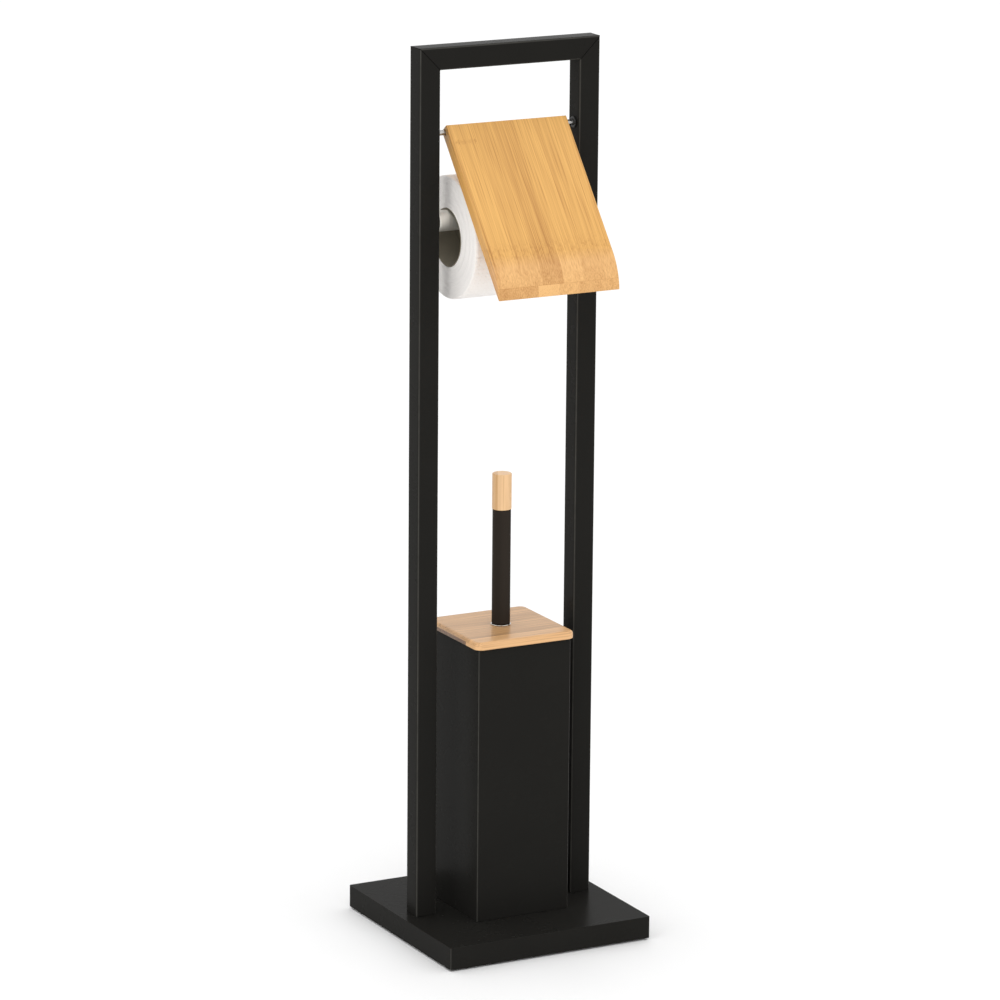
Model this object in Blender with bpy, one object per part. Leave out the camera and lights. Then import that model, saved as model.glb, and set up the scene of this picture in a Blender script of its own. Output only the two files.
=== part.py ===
"""Free-standing toilet paper holder with a brush set: black steel frame on a weighted base,
bamboo flap over a roll on a sprung spindle, and a square brush canister with a bamboo lid.

Metres, +Z up. The origin is on the floor at the middle of the base. The frame stands along X,
and the canister, the flap and the front of the stand face -Y.
"""

import math

import bmesh
import bpy
from mathutils import Vector

# Clearances
GAP = 0.0003  # between pieces that touch
SIDES = 32  # sides of a round piece

# Base
BASE_MARGIN = 0.012  # from the frame's outer side to the base's side
BASE_HEIGHT = 0.020
BASE_WALL = 0.0012
BASE_BOTTOM_THICKNESS = 0.002
FOOT_HEIGHT = 0.0018  # from the floor to the base's lower rim
FOOT_RADIUS = 0.008
FOOT_INSET = 0.020  # from the base's side to the middle of a foot

# Frame
FRAME_WIDTH = 0.176
FRAME_HEIGHT = 0.780
TUBE_SIZE = 0.020
TUBE_WALL = 0.0012
TUBE_CORNER = 0.0020

# Screws that hold the frame, and the threaded blocks that they enter
FRAME_BOLT_RADIUS = 0.003
FRAME_BOLT_LENGTH = 0.022
FRAME_BOLT_HEAD_RADIUS = 0.005
FRAME_BOLT_HEAD_HEIGHT = 0.004
HEX_KEY_SIZE = 0.005
HEX_KEY_DEPTH = 0.0025
WASHER_THICKNESS = 0.0016
WASHER_RADIUS = 0.006
COUNTERBORE_RADIUS = 0.0075
COUNTERBORE_WEB = 0.007  # what the counterbores leave of the ballast slab
PLUG_LENGTH = 0.014

# Rod and flap
ROD_DROP = 0.0761  # below the frame's top
ROD_RADIUS = 0.0025
ROD_REACH = 0.008  # past the inner face of each upright
BUSH_RADIUS = 0.0037
BUSH_FLANGE_RADIUS = 0.005
BUSH_FLANGE_THICKNESS = 0.0010
BUSH_LENGTH = 0.004
FLAP_SIDE_PLAY = 0.009  # between the board and an upright
FLAP_THICKNESS = 0.0104
FLAP_LENGTH = 0.1650  # from the rod's axis to the lower end
FLAP_BACK_WALL = 0.0014  # board left behind the rod's bore
FLAP_TOP_WALL = 0.0010  # board left above the rod's bore
FLAP_ROUND_RUN = 0.032  # length of the rounded-over lower end
FLAP_EDGE = 0.0006

# Spindle and paper roll
SPINDLE_DROP = 0.0771  # below the flap's rod
SPINDLE_RADIUS = 0.0092
SPINDLE_WALL = 0.0010
SPINDLE_CAP = 0.0020
SPINDLE_END_PLAY = 0.0005
SPINDLE_OUTER_LENGTH = 0.078
SPINDLE_OVERLAP = 0.045  # how far the inner half stands in the outer half at rest
STUD_RADIUS = 0.004
STUD_LENGTH = 0.0065  # less than the inner half's 8 mm of travel, so that it comes out
SPRING_WIRE = 0.0006
SPRING_PLAY = 0.0014  # between the spring and the outer half's bore
SPRING_TURNS = 7
ROLL_RADIUS = 0.0545
ROLL_WIDTH = 0.104
ROLL_SHIFT = 0.25  # the share of its side play that the roll hangs left of the middle
CORE_RADIUS = 0.0248  # inside
CORE_WALL = 0.0010

# Canister, liner and lid
CANISTER_SIZE = 0.092
CANISTER_HEIGHT = 0.250
CANISTER_WALL = 0.0010
CANISTER_CORNER = 0.0015
SCREW_SPACING = 0.050
SCREW_RADIUS = 0.002
SCREW_HEAD_RADIUS = 0.004
SCREW_HEAD_HEIGHT = 0.0025
SCREW_RECESS = 0.0022
SCREW_STANDOUT = 0.0012  # past the nut
NUT_SIZE = 0.007
NUT_HEIGHT = 0.0032
LINER_SIDE_PLAY = 0.002
LINER_WALL = 0.0016
LINER_CORNER = 0.008
LINER_FLOOR_HEIGHT = 0.0075
LINER_TOP_PLAY = 0.0024  # below the lid's rebated underside
LID_OVERHANG = 0.003
LID_THICKNESS = 0.007
LID_CORNER = 0.007
LID_EDGE = 0.0014
LID_REBATE_DEPTH = 0.004
LID_REBATE_PLAY = 0.001

# Brush
HANDLE_RADIUS = 0.00825
HANDLE_WALL = 0.0010
HANDLE_TUBE_LENGTH = 0.1043
GRIP_RADIUS = 0.0087
GRIP_LENGTH = 0.0322
GRIP_EDGE = 0.0007
GRIP_SPIGOT = 0.014
HANDLE_WASHER_RADIUS = 0.0090
HANDLE_WASHER_THICKNESS = 0.0008
HANDLE_PLUG_LENGTH = 0.015
STEM_RADIUS = 0.005
STEM_THREAD_RADIUS = 0.004
STEM_THREAD_LENGTH = 0.023
STEM_COLLAR_RADIUS = 0.009
STEM_COLLAR_HEIGHT = 0.003
STEM_TIP_RADIUS = 0.003
STEM_TIP_LENGTH = 0.012
HEAD_RADIUS = 0.008
HEAD_LENGTH = 0.080
HEAD_FLOOR_CLEARANCE = 0.004
BRISTLE_PLAY = 0.0049  # between the bristles and the liner
BRISTLE_LENGTH = 0.070
BRISTLE_START = 0.002  # above the brush head's lower end
BRISTLE_ROUND = 0.016

# Levels that several pieces share
BASE_SIZE = FRAME_WIDTH + 2 * BASE_MARGIN
BASE_TOP = FOOT_HEIGHT + BASE_HEIGHT
BASE_CEILING = BASE_TOP - BASE_WALL
BOTTOM_TOP = FOOT_HEIGHT + BASE_BOTTOM_THICKNESS
SEAT = BASE_TOP + GAP  # where the frame and the canister stand
COUNTERBORE_TOP = BASE_CEILING - GAP - COUNTERBORE_WEB
FRAME_TOP = SEAT + FRAME_HEIGHT
UPRIGHT_X = (FRAME_WIDTH - TUBE_SIZE) / 2
INNER_FACE = FRAME_WIDTH / 2 - TUBE_SIZE
CANISTER_TOP = SEAT + CANISTER_HEIGHT
CANISTER_FLOOR = SEAT + CANISTER_WALL
LINER_FLOOR = CANISTER_FLOOR + GAP + LINER_FLOOR_HEIGHT
LINER_INSIDE = CANISTER_SIZE - 2 * (CANISTER_WALL + LINER_SIDE_PLAY + LINER_WALL)
BRISTLE_RADIUS = LINER_INSIDE / 2 - BRISTLE_PLAY
LID_SIZE = CANISTER_SIZE + 2 * LID_OVERHANG
LID_BOTTOM = CANISTER_TOP + GAP
LID_TOP = LID_BOTTOM + LID_THICKNESS
REBATE_BOTTOM = LID_BOTTOM - LID_REBATE_DEPTH
ROD_HEIGHT = FRAME_TOP - ROD_DROP
FLAP_WIDTH = 2 * (INNER_FACE - FLAP_SIDE_PLAY)
SPINDLE_HEIGHT = ROD_HEIGHT - SPINDLE_DROP
SPINDLE_BORE = SPINDLE_RADIUS - SPINDLE_WALL
SPRING_RADIUS = SPINDLE_BORE - SPRING_PLAY - SPRING_WIRE
ROLL_OFFSET = -ROLL_SHIFT * (INNER_FACE - ROLL_WIDTH / 2)
ROLL_HEIGHT = SPINDLE_HEIGHT + SPINDLE_RADIUS + GAP - CORE_RADIUS
FLAP_BACK = ROD_RADIUS + GAP + FLAP_BACK_WALL
FLAP_TOP = ROD_RADIUS + GAP + FLAP_TOP_WALL
FLAP_LEAN = math.asin((ROLL_RADIUS + FLAP_BACK + GAP) / (ROD_HEIGHT - ROLL_HEIGHT))


# Shapes


def circle(radius, level, sides=SIDES):
    """A level ring of points round the Z axis."""
    steps = [math.tau * i / sides for i in range(sides)]
    return [Vector((radius * math.cos(a), radius * math.sin(a), level)) for a in steps]


def hexagon(across_flats, level, sides=24):
    """A hexagon given as a ring of points, so that it bridges to a circle of as many."""
    ring = []
    for i in range(sides):
        angle = math.tau * i / sides
        off_flat = (angle + math.pi / 6) % (math.pi / 3) - math.pi / 6
        radius = across_flats / 2 / math.cos(off_flat)
        ring.append(Vector((radius * math.cos(angle), radius * math.sin(angle), level)))
    return ring


def square(width, depth, corner, level, steps=4):
    """A level rectangle with rounded corners, as a ring of points round the Z axis."""
    ring = []
    for quarter in range(4):
        turn = quarter * math.pi / 2
        side_x = 1 if quarter in (0, 3) else -1
        side_y = 1 if quarter in (0, 1) else -1
        middle_x = side_x * (width / 2 - corner)
        middle_y = side_y * (depth / 2 - corner)
        for i in range(steps):
            angle = turn + math.pi / 2 * i / (steps - 1)
            x = middle_x + corner * math.cos(angle)
            y = middle_y + corner * math.sin(angle)
            ring.append(Vector((x, y, level)))
    return ring


def shell(rings, closed=False):
    """Bridges rings of points in turn. The first and last are capped, or joined if closed."""
    mesh = bmesh.new()
    rows = [[mesh.verts.new(point) for point in ring] for ring in rings]
    pairs = list(zip(rows, rows[1:]))
    if closed:
        pairs.append((rows[-1], rows[0]))
    else:
        mesh.faces.new(rows[0])
        mesh.faces.new(rows[-1])
    for low, high in pairs:
        for i in range(len(low)):
            j = (i + 1) % len(low)
            mesh.faces.new((low[i], low[j], high[j], high[i]))
    bmesh.ops.recalc_face_normals(mesh, faces=mesh.faces)
    return mesh


def turned(profile, closed=False, sides=SIDES):
    """A solid of revolution from (radius, height) pairs."""
    return shell([circle(radius, level, sides) for radius, level in profile], closed)


def joined(solids):
    """One mesh of several solids, each given with how far it is moved along X."""
    whole = bmesh.new()
    for solid, x in solids:
        bmesh.ops.translate(solid, vec=(x, 0, 0), verts=solid.verts)
        held = bpy.data.meshes.new("held")
        solid.to_mesh(held)
        solid.free()
        whole.from_mesh(held)
        bpy.data.meshes.remove(held)
    return whole


# Objects


def material(name, colour, roughness, metallic=0.0):
    finish = bpy.data.materials.new(name)
    finish.use_nodes = True
    shader = finish.node_tree.nodes["Principled BSDF"]
    shader.inputs["Base Color"].default_value = (*colour, 1.0)
    shader.inputs["Roughness"].default_value = roughness
    shader.inputs["Metallic"].default_value = metallic
    finish.diffuse_color = (*colour, 1.0)
    return finish


def piece(name, mesh, finish, location=(0, 0, 0), along_x=False):
    """Makes a named object from a bmesh. With along_x, the mesh's Z axis lies along X."""
    data = bpy.data.meshes.new(name)
    mesh.to_mesh(data)
    mesh.free()
    data.shade_smooth()
    data.set_sharp_from_angle(angle=math.radians(35))
    data.materials.append(finish)
    made = bpy.data.objects.new(name, data)
    made.location = location
    if along_x:
        made.rotation_euler = (0, math.pi / 2, 0)
    bpy.context.scene.collection.objects.link(made)
    return made


def cutter(name, mesh, location=(0, 0, 0), along_x=False):
    """A hidden solid, or several in one mesh, that cuts holes."""
    tool = piece(name, mesh, STEEL, location, along_x)
    tool.hide_render = True
    tool.display_type = "WIRE"
    return tool


def cut(target, *tools):
    for tool in tools:
        hole = target.modifiers.new(tool.name, "BOOLEAN")
        hole.operation = "DIFFERENCE"
        hole.solver = "EXACT"
        hole.object = tool


def round_edges(target, width, segments=2, angle=50):
    edge = target.modifiers.new("rounded_edges", "BEVEL")
    edge.width = width
    edge.segments = segments
    edge.limit_method = "ANGLE"
    edge.angle_limit = math.radians(angle)


# The pieces


def make_base():
    inner = BASE_SIZE - 2 * BASE_WALL
    cover = piece(
        "base_cover",
        shell(
            [
                square(BASE_SIZE, BASE_SIZE, BASE_WALL, BASE_TOP),
                square(BASE_SIZE, BASE_SIZE, BASE_WALL, FOOT_HEIGHT),
                square(inner, inner, BASE_WALL / 2, FOOT_HEIGHT),
                square(inner, inner, BASE_WALL / 2, BASE_CEILING),
            ]
        ),
        BLACK_STEEL,
    )
    filled = inner - 2 * GAP
    weight = piece(
        "base_weight",
        shell(
            [
                square(filled, filled, BASE_WALL, BOTTOM_TOP + GAP),
                square(filled, filled, BASE_WALL, BASE_CEILING - GAP),
            ]
        ),
        BALLAST,
    )
    bottom = piece(
        "base_bottom",
        shell(
            [
                square(filled, filled, BASE_WALL, FOOT_HEIGHT),
                square(filled, filled, BASE_WALL, BOTTOM_TOP),
            ]
        ),
        BLACK_PLASTIC,
    )
    for target in (cover, weight, bottom):
        bores = []
        for reach, radius in ((UPRIGHT_X, FRAME_BOLT_RADIUS), (SCREW_SPACING / 2, SCREW_RADIUS)):
            bore = radius + GAP
            steps = [(COUNTERBORE_RADIUS, 0), (COUNTERBORE_RADIUS, COUNTERBORE_TOP)]
            steps += [(bore, COUNTERBORE_TOP), (bore, CANISTER_TOP)]
            bores += [(turned(steps), -reach), (turned(steps), reach)]
        cut(target, cutter(f"bores_{target.name}", joined(bores)))
    reach = BASE_SIZE / 2 - FOOT_INSET
    corners = [("front", -1, "left", -1), ("front", -1, "right", 1)]
    corners += [("back", 1, "left", -1), ("back", 1, "right", 1)]
    for row, y_side, column, x_side in corners:
        pad = turned([(FOOT_RADIUS, 0), (FOOT_RADIUS, FOOT_HEIGHT - GAP)])
        piece(f"foot_{row}_{column}", pad, RUBBER, (x_side * reach, y_side * reach, 0))


def tube_rings(low, high):
    """The four rings of a square tube: outside low and high, then inside high and low.

    low and high take a point of the section and give its level, which lets an end be mitred.
    """
    outer = square(TUBE_SIZE, TUBE_SIZE, TUBE_CORNER, 0)
    bore = TUBE_SIZE - 2 * TUBE_WALL
    inner = square(bore, bore, TUBE_CORNER - TUBE_WALL, 0)
    rings = []
    for section, level in ((outer, low), (outer, high), (inner, high), (inner, low)):
        rings.append([Vector((p.x, p.y, level(p))) for p in section])
    return rings


def make_frame():
    half = TUBE_SIZE / 2
    mitre_gap = GAP / math.sqrt(2)
    for side, name in ((-1, "left"), (1, "right")):
        rings = tube_rings(
            lambda p: SEAT,
            lambda p: FRAME_TOP - half + side * p.x - mitre_gap,
        )
        upright = piece(f"{name}_upright", shell(rings, closed=True), BLACK_STEEL, (side * UPRIGHT_X, 0, 0))
        wall_middle = side * (INNER_FACE + TUBE_WALL / 2)
        for hole, radius, height in (
            ("rod_hole", BUSH_RADIUS, ROD_HEIGHT),
            ("stud_hole", STUD_RADIUS, SPINDLE_HEIGHT),
        ):
            place = (wall_middle, 0, height)
            drill = turned([(radius + GAP, -TUBE_WALL), (radius + GAP, TUBE_WALL)])
            cut(upright, cutter(f"{hole}_{name}", drill, place, True))
    middle = FRAME_TOP - half
    reach = UPRIGHT_X - mitre_gap
    # On its side, the bar's own X points down, so its upper wall is at -X.
    rings = tube_rings(lambda p: -reach + p.x, lambda p: reach - p.x)
    piece("top_bar", shell(rings, closed=True), BLACK_STEEL, (0, 0, middle), True)


def make_frame_fasteners():
    bore = TUBE_SIZE - 2 * TUBE_WALL
    block = bore - 2 * GAP
    washer_top = COUNTERBORE_TOP - GAP
    head_top = washer_top - WASHER_THICKNESS - GAP
    head_bottom = head_top - FRAME_BOLT_HEAD_HEIGHT
    hole = FRAME_BOLT_RADIUS + GAP
    for side, name in ((-1, "left"), (1, "right")):
        place = (side * UPRIGHT_X, 0, 0)
        plug = piece(
            f"upright_plug_{name}",
            shell(
                [
                    square(block, block, TUBE_CORNER - TUBE_WALL, SEAT),
                    square(block, block, TUBE_CORNER - TUBE_WALL, SEAT + PLUG_LENGTH),
                ]
            ),
            STEEL,
            place,
        )
        cut(plug, cutter(f"plug_bore_{name}", turned([(hole, 0), (hole, FRAME_TOP / 2)]), place))
        ring = [(WASHER_RADIUS, washer_top - WASHER_THICKNESS), (WASHER_RADIUS, washer_top)]
        ring += [(hole, washer_top), (hole, washer_top - WASHER_THICKNESS)]
        piece(f"frame_washer_{name}", turned(ring, closed=True, sides=24), STEEL, place)
        bolt = [
            circle(FRAME_BOLT_RADIUS, head_top + FRAME_BOLT_LENGTH, 24),
            circle(FRAME_BOLT_RADIUS, head_top, 24),
            circle(FRAME_BOLT_HEAD_RADIUS, head_top, 24),
            circle(FRAME_BOLT_HEAD_RADIUS, head_bottom, 24),
            hexagon(HEX_KEY_SIZE, head_bottom),
            hexagon(HEX_KEY_SIZE, head_bottom + HEX_KEY_DEPTH),
        ]
        piece(f"frame_bolt_{name}", shell(bolt), STEEL, place)


def make_rod_and_flap():
    reach = INNER_FACE + ROD_REACH
    rod = turned([(ROD_RADIUS, -reach), (ROD_RADIUS, reach)], sides=24)
    piece("flap_rod", rod, STEEL, (0, 0, ROD_HEIGHT), True)
    bore = ROD_RADIUS + GAP
    start = INNER_FACE - GAP
    for side, name in ((-1, "left"), (1, "right")):
        ring = [
            (bore, start - BUSH_FLANGE_THICKNESS),
            (BUSH_FLANGE_RADIUS, start - BUSH_FLANGE_THICKNESS),
            (BUSH_FLANGE_RADIUS, start),
            (BUSH_RADIUS, start),
            (BUSH_RADIUS, start + BUSH_LENGTH),
            (bore, start + BUSH_LENGTH),
        ]
        ring = [(radius, side * level) for radius, level in ring]
        bush = turned(ring, closed=True, sides=24)
        piece(f"rod_bush_{name}", bush, BLACK_PLASTIC, (0, 0, ROD_HEIGHT), True)

    front = FLAP_THICKNESS - FLAP_BACK
    curve = (FLAP_ROUND_RUN**2 + FLAP_THICKNESS**2) / (2 * FLAP_THICKNESS)
    # The section runs along the board: out is its show side, down is its lower end.
    outline = [(-FLAP_BACK, -FLAP_TOP), (front, -FLAP_TOP)]
    for i in range(11):
        run = FLAP_ROUND_RUN * i / 10
        drop = curve - math.sqrt(curve**2 - run**2)
        outline.append((front - drop, FLAP_LENGTH - FLAP_ROUND_RUN + run))
    ends = [[Vector((x, -out, -down)) for out, down in outline] for x in (-FLAP_WIDTH / 2, FLAP_WIDTH / 2)]
    board = piece("flap_board", shell(ends), BAMBOO, (0, 0, ROD_HEIGHT))
    round_edges(board, FLAP_EDGE, 2, 40)
    drill = turned([(bore, -FLAP_WIDTH), (bore, FLAP_WIDTH)])
    cut(board, cutter("rod_bore", drill, (0, 0, ROD_HEIGHT), True))
    board.rotation_euler = (-FLAP_LEAN, 0, 0)


def make_spindle():
    end = INNER_FACE - SPINDLE_END_PLAY
    mouth = -end + SPINDLE_OUTER_LENGTH
    outer = [
        (STUD_RADIUS, -end - STUD_LENGTH),
        (STUD_RADIUS, -end),
        (SPINDLE_RADIUS, -end),
        (SPINDLE_RADIUS, mouth),
        (SPINDLE_BORE, mouth),
        (SPINDLE_BORE, -end + SPINDLE_CAP),
    ]
    place = (0, 0, SPINDLE_HEIGHT)
    piece("spindle_outer", turned(outer), BRUSHED_STEEL, place, True)
    skin = SPINDLE_BORE - GAP
    hollow = skin - SPINDLE_WALL
    tail = mouth - SPINDLE_OVERLAP
    vent = STUD_RADIUS / 2
    inner = [
        (STUD_RADIUS, end + STUD_LENGTH),
        (STUD_RADIUS, end),
        (skin, end),
        (skin, tail),
        (vent, tail),
        (vent, tail + SPINDLE_CAP),
        (hollow, tail + SPINDLE_CAP),
        (hollow, end - SPINDLE_CAP),
    ]
    piece("spindle_inner", turned(inner), BRUSHED_STEEL, place, True)

    low = -end + SPINDLE_CAP + GAP + SPRING_WIRE
    high = tail - GAP - SPRING_WIRE
    steps = 14
    wire = bpy.data.curves.new("spindle_spring", "CURVE")
    wire.dimensions = "3D"
    wire.bevel_depth = SPRING_WIRE
    wire.bevel_resolution = 1
    wire.use_fill_caps = True
    path = wire.splines.new("POLY")
    path.points.add(SPRING_TURNS * steps)
    for i, point in enumerate(path.points):
        angle = math.tau * i / steps
        x = low + (high - low) * i / (SPRING_TURNS * steps)
        point.co = (x, SPRING_RADIUS * math.cos(angle), SPRING_RADIUS * math.sin(angle), 1)
    spring = bpy.data.objects.new("spindle_spring", wire)
    spring.location = place
    wire.materials.append(STEEL)
    bpy.context.scene.collection.objects.link(spring)


def make_roll():
    place = (ROLL_OFFSET, 0, ROLL_HEIGHT)
    half = ROLL_WIDTH / 2
    core_outside = CORE_RADIUS + CORE_WALL
    core = [(CORE_RADIUS, -half), (core_outside, -half), (core_outside, half), (CORE_RADIUS, half)]
    piece("paper_core", turned(core, closed=True, sides=48), CARDBOARD, place, True)
    bore = core_outside + GAP
    edge = 0.0015
    paper = [
        (bore, -half),
        (ROLL_RADIUS - edge, -half),
        (ROLL_RADIUS, -half + edge),
        (ROLL_RADIUS, half - edge),
        (ROLL_RADIUS - edge, half),
        (bore, half),
    ]
    piece("paper_roll", turned(paper, closed=True, sides=64), PAPER, place, True)


def make_canister():
    inner = CANISTER_SIZE - 2 * CANISTER_WALL
    box = piece(
        "canister",
        shell(
            [
                square(CANISTER_SIZE, CANISTER_SIZE, CANISTER_CORNER, SEAT),
                square(CANISTER_SIZE, CANISTER_SIZE, CANISTER_CORNER, CANISTER_TOP),
                square(inner, inner, CANISTER_CORNER - CANISTER_WALL, CANISTER_TOP),
                square(inner, inner, CANISTER_CORNER - CANISTER_WALL, CANISTER_FLOOR),
            ]
        ),
        BLACK_STEEL,
    )
    nut_bottom = CANISTER_FLOOR + GAP
    nut_top = nut_bottom + NUT_HEIGHT
    hole = SCREW_RADIUS + GAP
    head_top = COUNTERBORE_TOP - GAP
    head_bottom = head_top - SCREW_HEAD_HEIGHT
    drill = [(hole, 0), (hole, CANISTER_TOP / 2)]
    bores = [(turned(drill), side * SCREW_SPACING / 2) for side in (-1, 1)]
    cut(box, cutter("floor_bores", joined(bores)))
    for side, name in ((-1, "left"), (1, "right")):
        place = (side * SCREW_SPACING / 2, 0, 0)
        screw = [
            circle(SCREW_RADIUS, nut_top + SCREW_STANDOUT, 24),
            circle(SCREW_RADIUS, head_top, 24),
            circle(SCREW_HEAD_RADIUS, head_top, 24),
            circle(SCREW_HEAD_RADIUS, head_bottom + SCREW_HEAD_HEIGHT / 2, 24),
            circle(SCREW_HEAD_RADIUS * 0.8, head_bottom, 24),
            hexagon(SCREW_RECESS, head_bottom),
            hexagon(SCREW_RECESS, head_bottom + SCREW_HEAD_HEIGHT / 2),
        ]
        piece(f"canister_screw_{name}", shell(screw), STEEL, place)
        nut = [
            hexagon(NUT_SIZE, nut_bottom),
            hexagon(NUT_SIZE, nut_top),
            circle(hole, nut_top, 24),
            circle(hole, nut_bottom, 24),
        ]
        piece(f"canister_nut_{name}", shell(nut, closed=True), STEEL, place)

    size = LINER_INSIDE + 2 * LINER_WALL
    corner = LINER_CORNER - LINER_WALL
    foot = CANISTER_FLOOR + GAP
    top = REBATE_BOTTOM - LINER_TOP_PLAY
    cup = [
        square(LINER_INSIDE, LINER_INSIDE, corner, LINER_FLOOR - LINER_WALL),
        square(LINER_INSIDE, LINER_INSIDE, corner, foot),
        square(size, size, LINER_CORNER, foot),
        square(size, size, LINER_CORNER, top),
        square(LINER_INSIDE, LINER_INSIDE, corner, top),
        square(LINER_INSIDE, LINER_INSIDE, corner, LINER_FLOOR),
    ]
    piece("canister_liner", shell(cup), GREY_PLASTIC)


def make_lid_and_handle():
    rebate = CANISTER_SIZE - 2 * CANISTER_WALL - 2 * LID_REBATE_PLAY
    board = [
        square(rebate, rebate, LID_CORNER / 2, REBATE_BOTTOM),
        square(rebate, rebate, LID_CORNER / 2, LID_BOTTOM),
        square(LID_SIZE, LID_SIZE, LID_CORNER, LID_BOTTOM),
    ]
    for i in range(4):
        angle = math.pi / 2 * i / 3
        size = LID_SIZE - 2 * LID_EDGE * (1 - math.cos(angle))
        corner = LID_CORNER - LID_EDGE * (1 - math.cos(angle))
        board.append(square(size, size, corner, LID_TOP - LID_EDGE * (1 - math.sin(angle))))
    lid = piece("lid", shell(board), BAMBOO)
    hole = STEM_THREAD_RADIUS + GAP
    cut(lid, cutter("lid_hole", turned([(hole, LID_TOP / 2), (hole, LID_TOP * 2)])))

    washer_bottom = LID_TOP + GAP
    washer_top = washer_bottom + HANDLE_WASHER_THICKNESS
    washer = [
        (hole, washer_bottom),
        (HANDLE_WASHER_RADIUS, washer_bottom),
        (HANDLE_WASHER_RADIUS, washer_top),
        (hole, washer_top),
    ]
    piece("handle_washer", turned(washer, closed=True), STEEL)
    tube_bottom = washer_top + GAP
    tube_top = tube_bottom + HANDLE_TUBE_LENGTH
    bore = HANDLE_RADIUS - HANDLE_WALL
    tube = [(HANDLE_RADIUS, tube_bottom), (HANDLE_RADIUS, tube_top), (bore, tube_top), (bore, tube_bottom)]
    piece("handle_tube", turned(tube, closed=True), BLACK_STEEL)
    fill = bore - GAP
    plug_top = tube_bottom + HANDLE_PLUG_LENGTH
    plug = [(hole, tube_bottom), (fill, tube_bottom), (fill, plug_top), (hole, plug_top)]
    piece("handle_plug", turned(plug, closed=True), STEEL)
    grip_bottom = tube_top + GAP
    grip_top = grip_bottom + GRIP_LENGTH
    grip = [
        (fill, grip_bottom - GRIP_SPIGOT),
        (fill, grip_bottom),
        (GRIP_RADIUS, grip_bottom),
        (GRIP_RADIUS, grip_top - GRIP_EDGE),
        (GRIP_RADIUS - GRIP_EDGE * 0.3, grip_top - GRIP_EDGE * 0.3),
        (GRIP_RADIUS - GRIP_EDGE, grip_top),
    ]
    piece("handle_grip", turned(grip), BAMBOO)


def make_brush():
    head_bottom = LINER_FLOOR + HEAD_FLOOR_CLEARANCE
    head_top = head_bottom + HEAD_LENGTH
    collar_top = REBATE_BOTTOM - GAP
    collar_bottom = collar_top - STEM_COLLAR_HEIGHT
    stem = [
        (STEM_THREAD_RADIUS, collar_top + STEM_THREAD_LENGTH),
        (STEM_THREAD_RADIUS, collar_top),
        (STEM_COLLAR_RADIUS, collar_top),
        (STEM_COLLAR_RADIUS, collar_bottom),
        (STEM_RADIUS, collar_bottom),
        (STEM_RADIUS, head_top + GAP),
        (STEM_TIP_RADIUS, head_top + GAP),
        (STEM_TIP_RADIUS, head_top + GAP - STEM_TIP_LENGTH),
    ]
    piece("brush_stem", turned(stem, sides=24), STEEL)
    bore = STEM_TIP_RADIUS + GAP
    bore_bottom = head_top - STEM_TIP_LENGTH - GAP
    head = [
        (bore, bore_bottom),
        (bore, head_top),
        (HEAD_RADIUS, head_top),
        (HEAD_RADIUS, head_bottom + HEAD_RADIUS / 2),
        (HEAD_RADIUS * 0.85, head_bottom + HEAD_RADIUS / 6),
        (HEAD_RADIUS * 0.5, head_bottom),
    ]
    piece("brush_head", turned(head, sides=24), WHITE_PLASTIC)
    inside = HEAD_RADIUS + GAP
    low = head_bottom + BRISTLE_START + HEAD_RADIUS / 2
    high = low + BRISTLE_LENGTH
    bristles = [(inside, high), (inside, low)]
    for i in range(5):
        angle = math.pi / 2 * i / 4
        radius = BRISTLE_RADIUS - BRISTLE_ROUND * (1 - math.sin(angle))
        bristles.append((radius, low + BRISTLE_ROUND * (1 - math.cos(angle))))
    for i in range(5):
        angle = math.pi / 2 * i / 4
        radius = BRISTLE_RADIUS - BRISTLE_ROUND * (1 - math.cos(angle))
        bristles.append((radius, high - BRISTLE_ROUND * (1 - math.sin(angle))))
    piece("brush_bristles", turned(bristles, closed=True), BRISTLE)


for leftover in list(bpy.data.objects):
    bpy.data.objects.remove(leftover, do_unlink=True)

BLACK_STEEL = material("black_powder_coat", (0.021, 0.020, 0.019), 0.42)
STEEL = material("steel", (0.55, 0.54, 0.52), 0.3, 1.0)
BRUSHED_STEEL = material("brushed_steel", (0.66, 0.64, 0.60), 0.35, 1.0)
BAMBOO = material("bamboo", (0.72, 0.42, 0.16), 0.45)
PAPER = material("toilet_paper", (0.86, 0.83, 0.80), 0.95)
CARDBOARD = material("core_cardboard", (0.36, 0.32, 0.25), 0.9)
BALLAST = material("cast_concrete", (0.30, 0.29, 0.28), 0.9)
BLACK_PLASTIC = material("black_plastic", (0.015, 0.015, 0.015), 0.5)
GREY_PLASTIC = material("grey_plastic", (0.35, 0.36, 0.36), 0.5)
WHITE_PLASTIC = material("white_plastic", (0.80, 0.80, 0.78), 0.4)
BRISTLE = material("white_bristle", (0.85, 0.85, 0.83), 0.6)
RUBBER = material("black_rubber", (0.02, 0.02, 0.02), 0.8)

make_base()
make_frame()
make_frame_fasteners()
make_rod_and_flap()
make_spindle()
make_roll()
make_canister()
make_lid_and_handle()
make_brush()
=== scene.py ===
"""The looks of a free-standing toilet paper holder with a brush set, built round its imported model.

Metres, +Z up. The sections follow the stand as it is put together: base, frame, flap, spindle,
roll, canister, lid and handle, brush. The room comes last.
"""

import math

import bmesh
import bpy
import numpy as np
from mathutils import Matrix, Vector


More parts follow.
